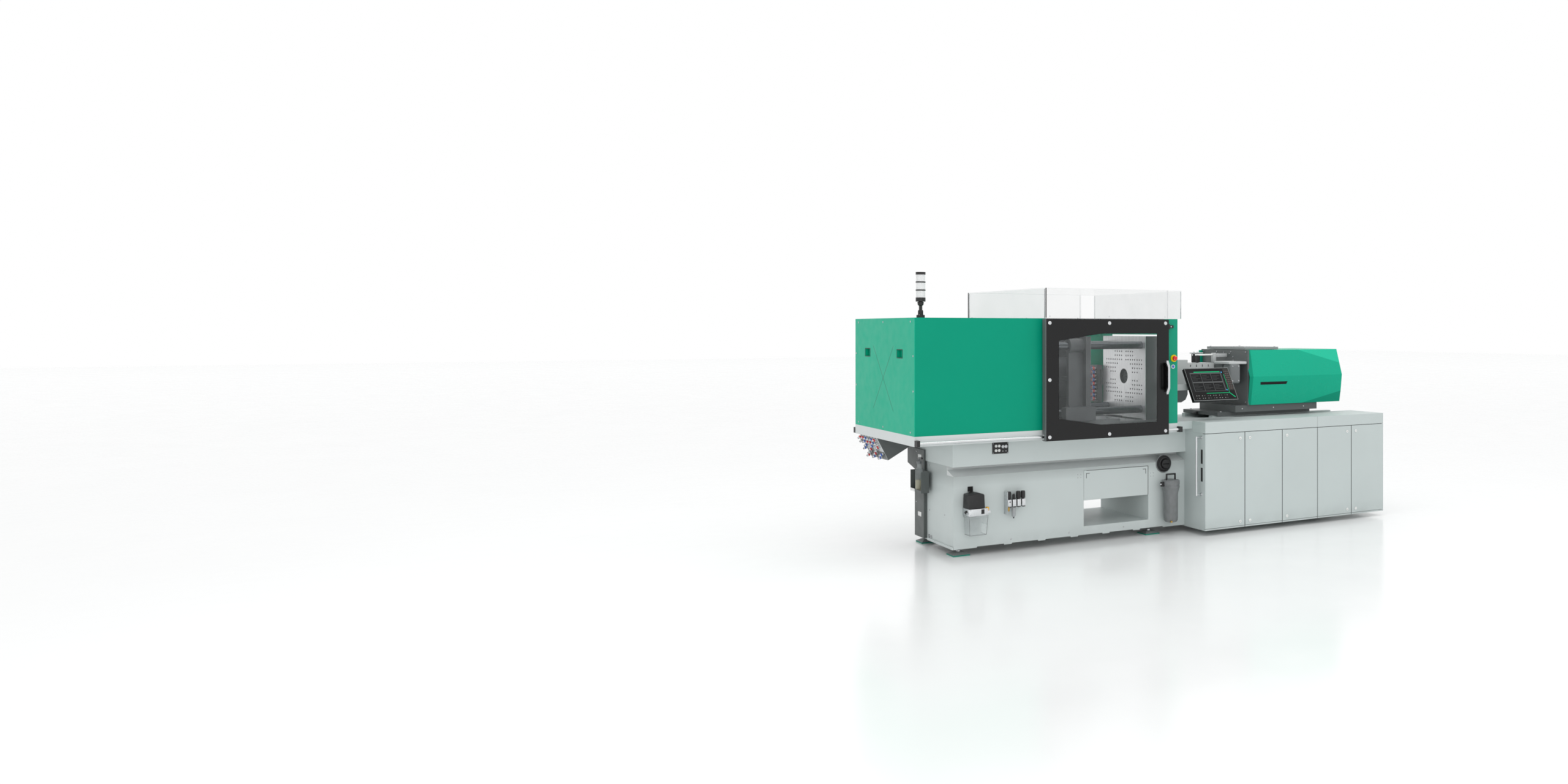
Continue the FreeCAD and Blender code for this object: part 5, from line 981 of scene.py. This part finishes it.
def makeHood():
    tall, waist, foot = hood["top"], hood["mid"], hood["low"]
    shape = bmesh.new()
    for side in (-1, 1):
        part = bmesh.new()
        rowEdge = hoodColumn(part, (3207, 3207, 3207), (tall, waist, foot), (0.2945, 0.3645, 0.3425), side)
        rowFold = hoodColumn(part, (3262, 3244, 3232), (tall, waist, foot),
                             (hood["topHalf"], hood["midHalf"], hood["lowHalf"]), side)
        topCut, lowCut, rightUp, rightMid, rightLow, topRight, lowRight = hoodColumn(
            part, (3801, 3812, 4282, 4284, 4280, 4280, 4272), (tall, foot, 1.392, waist, 1.134, tall, foot),
            (hood["topHalf"], hood["lowHalf"], 0.3375, 0.3695, 0.3565, 0.2995, 0.3475), side)
        midLeft = rowFold[1]
        faces = [
            (rowEdge[0], rowEdge[1], rowFold[1], rowFold[0]), (rowEdge[1], rowEdge[2], rowFold[2], rowFold[1]),
            (rowFold[0], midLeft, rightMid, rightUp, topCut), (topCut, rightUp, topRight),
            (midLeft, rowFold[2], lowCut, rightLow, rightMid), (lowCut, lowRight, rightLow),
        ]
        for corners in faces:
            part.faces.new(corners if side < 0 else corners[::-1])
        joinPart(shape, part)
    bmesh.ops.remove_doubles(shape, verts=shape.verts, dist=weld)

    def found(station, z, side):
        aim = Vector((atStation(station), 0, z))
        near = [v for v in shape.verts if v.co.y * side > 0]
        return min(near, key=lambda v: (Vector((v.co.x, 0, v.co.z)) - aim).length)

    for first, second in zip(hood["over"], hood["over"][1:]):
        shape.faces.new([found(*first, -1), found(*second, -1), found(*second, 1), found(*first, 1)])
    for first, second in zip(hood["under"], hood["under"][1:]):
        shape.faces.new([found(*first, 1), found(*second, 1), found(*second, -1), found(*first, -1)])
    for first, second in zip(hood["back"], hood["back"][1:]):
        shape.faces.new([found(*first, -1), found(*first, 1), found(*second, 1), found(*second, -1)])
    bmesh.ops.recalc_face_normals(shape, faces=shape.faces)
    # the far facets take painted light: a painted highlight green on the upper one and a painted shade green on the
    # lower one; the narrow left facets take the painted shade too
    for face in shape.faces:
        centre = face.calc_center_median()
        if abs(face.normal.y) > 0.5 and centre.x > atStation(3950):
            if centre.z > 1.44:
                face.material_index = 1
            elif centre.z < 1.10:
                face.material_index = 2
        if centre.x < atStation(3255) and abs(face.normal.y) > 0.3:
            face.material_index = 2
    piece = finishPiece("injectionHood", shape, [hoodSheet, hoodHighlightGreen, hoodShadeGreen], "carriage", False)
    wall = piece.modifiers.new("wall", "SOLIDIFY")
    wall.thickness, wall.offset = hood["wall"], -1.0
    fold = piece.modifiers.new("fold", "BEVEL")
    fold.width, fold.segments, fold.limit_method, fold.angle_limit = 0.0025, 2, "ANGLE", math.radians(14)
    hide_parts("injection_cover")
    slots = bmesh.new()
    lean = (hood["midHalf"] - hood["lowHalf"]) / (hood["mid"] - hood["low"])
    for side in (-1, 1):
        part = bmesh.new()
        ends = [[part.verts.new((atStation(x), side * (hood["lowHalf"] + lean * (z - hood["low"]) + proud), z))
                 for x, z in hood["slot"]] for proud in (-0.0005, 0.0008)]
        for index in range(4):
            part.faces.new((ends[0][index], ends[0][(index + 1) % 4], ends[1][(index + 1) % 4], ends[1][index]))
        part.faces.new(ends[0])
        part.faces.new(ends[1])
        joinPart(slots, part)
    finishPiece("hoodSlots", slots, [glossBlack], "carriage")
    # the edge strip takes the hood's painted shade green
    strip = bmesh.new()  # green edge of the far side, in front of the shield
    addBlocks(strip, ((3168, 3199.5), (0.322, 0.344), (1.10, 1.508), 0.003))
    finishPiece("hoodEdge", strip, [hoodShadeGreen], "carriage")


# lighter and darker copies of the hood's green: painted highlight and painted shade for the hood's facets
hoodHighlightGreen = paintedSheet("hoodHighlightGreen", scaled(hoodGreen, 1.3), 0.3, shine=0.35)
hoodShadeGreen = paintedSheet("hoodShadeGreen", scaled(hoodGreen, 0.68), 0.34, shine=0.13)
makeHood()

# parts standing on the carriage, in front of and beside the shield
bands = {"start": 2400, "step": 150, "width": 90}


def makeCarriageTrim():
    shape = bmesh.new()  # casing at the front of the gear box: a rounded body under a flat plate
    part = bmesh.new()
    part.faces.new([part.verts.new((atStation(3010), y, z)) for y, z in rectangle(-0.345, -0.232, 1.228, 1.400)])
    bmesh.ops.bevel(part, geom=part.verts[:], offset=0.022, offset_type="OFFSET", segments=5, profile=0.5,
                    affect="VERTICES", material=-1)
    grown = bmesh.ops.extrude_face_region(part, geom=part.faces[:])["geom"]
    bmesh.ops.translate(part, vec=(0.114, 0, 0), verts=movedVerts(grown))
    softenEdges(part, 0.020, 5, 1.0)
    joinPart(shape, part)
    addBlocks(shape, ((3000, 3198), (-0.338, -0.120), (1.396, 1.420), 0.006, 1))
    for station in (3034, 3100):
        for z in (1.252, 1.378):
            addScrew(shape, (atStation(station), -0.345, z), "-Y", 0.0065, 0.004, 2)
    finishPiece("gearCasing", shape, [gearSheet, lightSheet, couplingMetal], "carriage")
    shape = bmesh.new()  # bolts on the shield: round the barrel and near its edges
    face = atStation(3200)
    for index in range(10):
        angle = math.tau * (index + 0.5) / 10
        y, z = 0.145 * math.cos(angle), 1.440 + 0.052 * math.sin(angle)
        addScrew(shape, (face, y, z), "-X", 0.0055, 0.005, 0)
    for y in (-0.318, -0.105, 0.105, 0.318):
        for z in (1.500, 1.060):
            addScrew(shape, (face, y, z), "-X", 0.0060, 0.0045, 0)
    finishPiece("shieldBolts", shape, [couplingMetal], "carriage")
    shape = bmesh.new()  # guide rod above the barrel, with its holders
    spot = (atStation(2824), -0.040, 1.4745)
    addRing(shape, 0, 0.0075, 0.225, spot, "+X", 20)
    addRing(shape, 0.0075, 0.0115, 0.020, spot, "+X", 16, 1)
    addBlocks(shape, ((3040, 3072), (-0.058, -0.022), (1.4060, 1.490), 0.004, 2),
              ((2866, 2886), (-0.052, -0.028), (1.4060, 1.468), 0.003, 1),
              ((2880, 2960), (0.030, 0.060), (1.4060, 1.484), 0.006, 1),
              ((2866, 2990), (0.026, 0.064), (1.484, 1.494), 0.002, 2),
              ((3072, 3200), (-0.048, -0.032), (1.452, 1.484), 0.002, 2))
    for station in (2900, 2940):
        addHex(shape, (atStation(station), 0.045, 1.494), "+Z", 0.008, 0.006, 3)
    finishPiece("guideRod", shape, [whitePlastic, blackPlastic, lightSheet, couplingMetal], "carriage")
    shape = bmesh.new()  # heater band clamps on the barrel
    for index in range(4):
        start = bands["start"] + bands["step"] * index
        for share in (0.16, 0.84):
            spot = (atStation(start + bands["width"] * share) - 0.004, 0, 1.303)
            addLathe(shape, [(0.0542, 0), (0.0552, 0.001), (0.0552, 0.007), (0.0542, 0.008)], spot, "+X", 40)
        left = atStation(start)
        addBlock(shape, (left + 0.010, -0.012, 1.3560), (left + 0.080, 0.012, 1.3685), 0.002)
        for reach in (0.022, 0.068):
            addHex(shape, (left + reach, 0, 1.3685), "+Z", 0.0055, 0.005)
    finishPiece("heaterClamps", shape, [couplingMetal], "carriage")
    shape = bmesh.new()  # bolts of the feed plate, at its corners and round the feed bore
    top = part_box("feed_plate")[1].z
    for station in (3240, 3575):
        for y in (-0.255, 0.255):
            addScrew(shape, (atStation(station), y, top), "+Z", 0.008, 0.006)
    for angle in range(0, 360, 45):
        a = math.radians(angle) + 0.39
        addScrew(shape, (atStation(3400) + 0.075 * math.cos(a), 0.075 * math.sin(a), top), "+Z", 0.005, 0.0035)
    finishPiece("feedScrews", shape, [couplingMetal], "carriage")
    shape = bmesh.new()
    for x, y in ((2995, -0.225), (2995, 0.225), (3960, -0.225), (3960, 0.225)):
        addScrew(shape, (atStation(x), y, 0.976), "+Z", 0.009, 0.006)
    for x in (3150, 3500, 3850):
        addScrew(shape, (atStation(x), -0.330, 1.005), "-Y", 0.007, 0.004)
    finishPiece("sledScrews", shape, [couplingMetal], "carriage")
    shape = bmesh.new()  # stop block of the carriage on the base
    addBlocks(shape, ((2912, 2932), (0.030, 0.080), (0.9455, 0.965), 0.003, 1))
    finishPiece("carriageStop", shape, [couplingMetal, blackPlastic], "machine")


gearSheet = paintedSheet("gearSheet", tone(112, 116, 117), 0.38)
makeCarriageTrim()
print("carriage done")

# control panel: bezel, screen with plain tiles, key fields
panel = {"width": 0.456, "height": 0.3036, "ground": (0.0, 0.0002), "field": (0.0002, 0.0004),
         "printed": (0.0002, 0.0005), "tile": (0.0004, 0.0006), "line": (0.0006, 0.0008), "keys": (0.0005, 0.0010)}


def makePanel():
    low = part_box("control_panel")[0]
    lean = Vector((0, 0.150, 0.264)).normalized()
    out = Vector((0, -lean.z, lean.y))
    turn = Matrix((Vector((1, 0, 0)), lean, out)).transposed().to_4x4()
    corner = Vector((low.x, low.y, 1.107))

    def spotOf(across, up, rise):  # shares of the face, and metres out of it
        return corner + Vector((1, 0, 0)) * across * panel["width"] + lean * up * panel["height"] + out * rise

    def addPlate(shape, corners, rise, index, round_=0.0, soft=0.0002):
        part = bmesh.new()
        addOutline(part, corners, "XY", rise[0], rise[1], soft, 0.0, 0, round_)
        turnPart(shape, part, corner, turn, index)

    def addTile(shape, left, right, bottom, top, rise, index, round_=0.0):
        corners = rectangle(left * panel["width"], right * panel["width"], bottom * panel["height"],
                            top * panel["height"])
        addPlate(shape, corners, rise, index, round_)

    shape = bmesh.new()
    for left, right, bottom, top in ((0.0, 0.008, 0.0, 1.0), (0.992, 1.0, 0.0, 1.0), (0.008, 0.992, 0.0, 0.012),
                                     (0.008, 0.992, 0.988, 1.0)):
        addTile(shape, left, right, bottom, top, (0.0, 0.0008), 0)
    finishPiece("panelRim", shape, [plateSheet], "panel")
    shape = bmesh.new()
    addTile(shape, 0.062, 0.828, 0.262, 0.902, panel["ground"], 0, 0.002)
    addTile(shape, 0.088, 0.800, 0.290, 0.860, panel["field"], 1, 0.001)
    addTile(shape, 0.185, 0.780, 0.868, 0.892, panel["field"], 2)
    for column in range(3):
        for row in range(2):
            left, bottom = 0.100 + column * 0.229, 0.302 + row * 0.280
            addTile(shape, left, left + 0.218, bottom, bottom + 0.262, panel["tile"], 3, 0.001)
            addTile(shape, left, left + 0.218, bottom + 0.240, bottom + 0.262, panel["line"], 4)
            for line in range(4):
                width = (0.150, 0.110, 0.176, 0.090)[(line + column + row) % 4]
                addTile(shape, left + 0.016, left + 0.016 + width, bottom + 0.050 + line * 0.042,
                        bottom + 0.056 + line * 0.042, panel["line"], 4)
    addTile(shape, 0.112, 0.226, 0.622, 0.640, panel["printed"], 2)
    addTile(shape, 0.806, 0.826, 0.840, 0.880, (0.0004, 0.0007), 5, 0.001)
    addTile(shape, 0.806, 0.826, 0.290, 0.330, (0.0004, 0.0007), 5, 0.001)
    colours = ("screenEdge", "screenField", "screenGreen", "screenTile", "screenLine", "screenBlue")
    finishPiece("panelScreen", shape, [prints[name] for name in colours], "panel", False)
    shape = bmesh.new()
    addTile(shape, 0.862, 0.982, 0.300, 0.968, panel["printed"], 0, 0.003)
    addTile(shape, 0.850, 0.858, 0.222, 0.800, panel["printed"], 1)
    addTile(shape, 0.330, 0.858, 0.212, 0.226, panel["printed"], 1)
    addPlate(shape, [(0.386, 0.0655), (0.392, 0.0685), (0.440, 0.0260), (0.434, 0.0215)], panel["printed"], 1, 0.0, 0.0)
    for row in range(9):
        for column in range(5):
            share = 0.878 + column * 0.022
            addTile(shape, share, share + 0.009, 0.350 + row * 0.066, 0.362 + row * 0.066, panel["keys"],
                    2 + (row + column) % 2)
    for row in range(2):
        for pair in range(6):
            for step in range(2):
                left = 0.080 + pair * 0.128 + step * 0.050
                addTile(shape, left, left + 0.016, 0.062 + row * 0.078, 0.084 + row * 0.078, panel["keys"],
                        2 if (pair + step + row) % 3 else 4, 0.001)
    colours = ("keyField", "screenGreen", "keyLight", "keyRed", "keyDark")
    finishPiece("panelKeys", shape, [prints[name] for name in colours], "panel", False)
    shape = bmesh.new()  # grips under the panel, and screws on its back
    for across in (0.52, 0.70):
        spot = spotOf(across, 0.0, -0.016)
        addBlock(shape, (spot.x - 0.016, spot.y + 0.004, 1.0915), (spot.x + 0.016, spot.y + 0.026, 1.1020), 0.003)
    for across in (0.18, 0.82):
        for up in (0.15, 0.85):
            addScrew(shape, spotOf(across, up, -0.0320), turn @ Matrix.Rotation(math.pi, 4, "X"), 0.005, 0.002, 1)
    finishPiece("panelFittings", shape, [blackPlastic, couplingMetal], "panel")


def flatGlow(name, colour, strength, rough=0.3):
    material, tree, shader, place = openMaterial(name)[:4]
    grid = noiseOf(tree, place, 0.0011, 1.0)
    base = mixOf(tree, levels(tree, grid, 0.0, 1.0), scaled(colour, 0.9), scaled(colour, 1.1))
    link(tree, shader, Base_Color=base, Roughness=rough, Specular_IOR_Level=0.12, Emission_Color=colour,
         Emission_Strength=strength)
    return material


prints = {name: flatGlow(name, tone(*colour), *rest) for name, colour, *rest in (
    ("screenEdge", (34, 36, 37), 0.02), ("screenField", (78, 80, 81), 0.08), ("screenTile", (26, 27, 28), 0.03),
    ("screenLine", (92, 94, 94), 0.08), ("screenGreen", (0, 168, 108), 0.35), ("screenBlue", (60, 150, 206), 0.3),
    ("keyField", (58, 57, 55), 0.0, 0.5), ("keyLight", (150, 152, 150), 0.0, 0.4),
    ("keyRed", (140, 74, 70), 0.0, 0.4), ("keyDark", (96, 98, 98), 0.0, 0.4))}
makePanel()

# clear hood: strips along its upright edges, and a tab at the end of the top rail
def makeHoodTrim():
    low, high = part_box("top_guard")
    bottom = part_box("clamp_cover")[1].z
    shape = bmesh.new()
    for side in (-1, 1):
        body = "safety_door" if side < 0 else "rear_door"
        pane = sorted((side * 0.7032, side * 0.7056))
        strips = bmesh.new()
        for left, width, index in ((atStation(1008.0), 0.008, 0), (atStation(2106), 0.0035, 1)):
            addBlock(strips, (left, pane[0], bottom + 0.004), (left + width, pane[1], high.z - 0.001), 0.0006, index)
        for x in (1045, 1566, 2085):
            addScrew(strips, (atStation(x), side * 0.703, bottom + 0.016), "-Y" if side < 0 else "+Y",
                     0.005, 0.0022, 1)
        finishPiece("frontHoodStrips" if side < 0 else "rearHoodStrips", strips, [blackPlastic, handleMetal], body)
    for x in (low.x, high.x - 0.0028):
        for y in (-0.688, 0.680):
            addBlock(shape, (x, y, bottom + 0.002), (x + 0.0028, y + 0.008, high.z - 0.008), 0.0006, 1)
    for y in (-0.46, 0.0, 0.46):
        addBlock(shape, (low.x + 0.004, y - 0.012, high.z - 0.0005), (low.x + 0.030, y + 0.012, high.z - 0.0001),
                 0.0, 1)
    finishPiece("hoodCorners", shape, [blackPlastic, handleMetal], "machine")
    shape = bmesh.new()  # lifting tab at the end of the top rail
    addBlocks(shape, ((2140, 2196), (-0.664, -0.6485), (1.709, 1.733), 0.003))
    addRing(shape, 0, 0.006, 0.005, (atStation(2168), -0.664, 1.721), "-Y", 16, 1)
    finishPiece("railTab", shape, [blackPlastic, couplingMetal], "machine")


makeHoodTrim()

print("panel done")

# floor, lights, world and camera
studio = {"floor": 60.0, "floorTone": tone(246, 247, 247), "sky": 1.0}


def makeStudio():
    shape = bmesh.new()
    bmesh.ops.create_grid(shape, x_segments=1, y_segments=1, size=studio["floor"])
    mesh = bpy.data.meshes.new("studioFloor")
    shape.to_mesh(mesh)
    shape.free()
    floor = bpy.data.objects.new("studioFloor", mesh)
    bpy.context.scene.collection.objects.link(floor)
    material, tree, shader, place = openMaterial("floorCoat")[:4]
    cloud = noiseOf(tree, place, 1.6, 3.0)
    link(tree, shader, Base_Color=mixOf(tree, levels(tree, cloud, 0.0, 1.0), scaled(studio["floorTone"], 0.985),
                                       studio["floorTone"]),
         Roughness=levels(tree, noiseOf(tree, place, 0.5, 3.0), 0.16, 0.22), Specular_IOR_Level=0.5)
    mesh.materials.append(material)
    world = bpy.data.worlds.new("studioAir")
    world.use_nodes = True
    world.node_tree.nodes["Background"].inputs["Color"].default_value = (1.0, 1.0, 1.0, 1.0)
    world.node_tree.nodes["Background"].inputs["Strength"].default_value = studio["sky"]
    bpy.context.scene.world = world
    panels = (  # name, place, aim, width, height, strength
        ("overheadLight", (-0.6, -1.2, 5.4), (0, 0, 0.9), 6.0, 3.0, 70.0),
        ("frontLight", (-3.0, -7.0, 1.9), (-0.2, 0, 0.8), 5.0, 2.4, 46.0),
        ("endLight", (-7.0, -1.5, 2.8), (-1.6, 0, 1.1), 3.0, 3.0, 8.0),
    )
    for name, spot, aim, width, height, strength in panels:
        light = bpy.data.lights.new(name, "AREA")
        light.shape, light.size, light.size_y, light.energy = "RECTANGLE", width, height, strength
        lamp = bpy.data.objects.new(name, light)
        lamp.location = spot
        lamp.rotation_euler = (Vector(aim) - Vector(spot)).to_track_quat("-Z", "Y").to_euler()
        bpy.context.scene.collection.objects.link(lamp)


def makeCamera():
    lens = bpy.data.cameras.new("viewpoint")
    lens.sensor_width, lens.lens = 36.0, 25.875
    lens.shift_x, lens.shift_y = -0.2148, -0.0398
    lens.clip_end = 200.0
    camera = bpy.data.objects.new("viewpoint", lens)
    camera.location = (-5.207, -8.154, 1.698)
    camera.rotation_euler = (math.radians(90), 0, math.radians(-31.8))
    bpy.context.scene.collection.objects.link(camera)
    bpy.context.scene.camera = camera


makeStudio()
makeCamera()
print("studio ready")
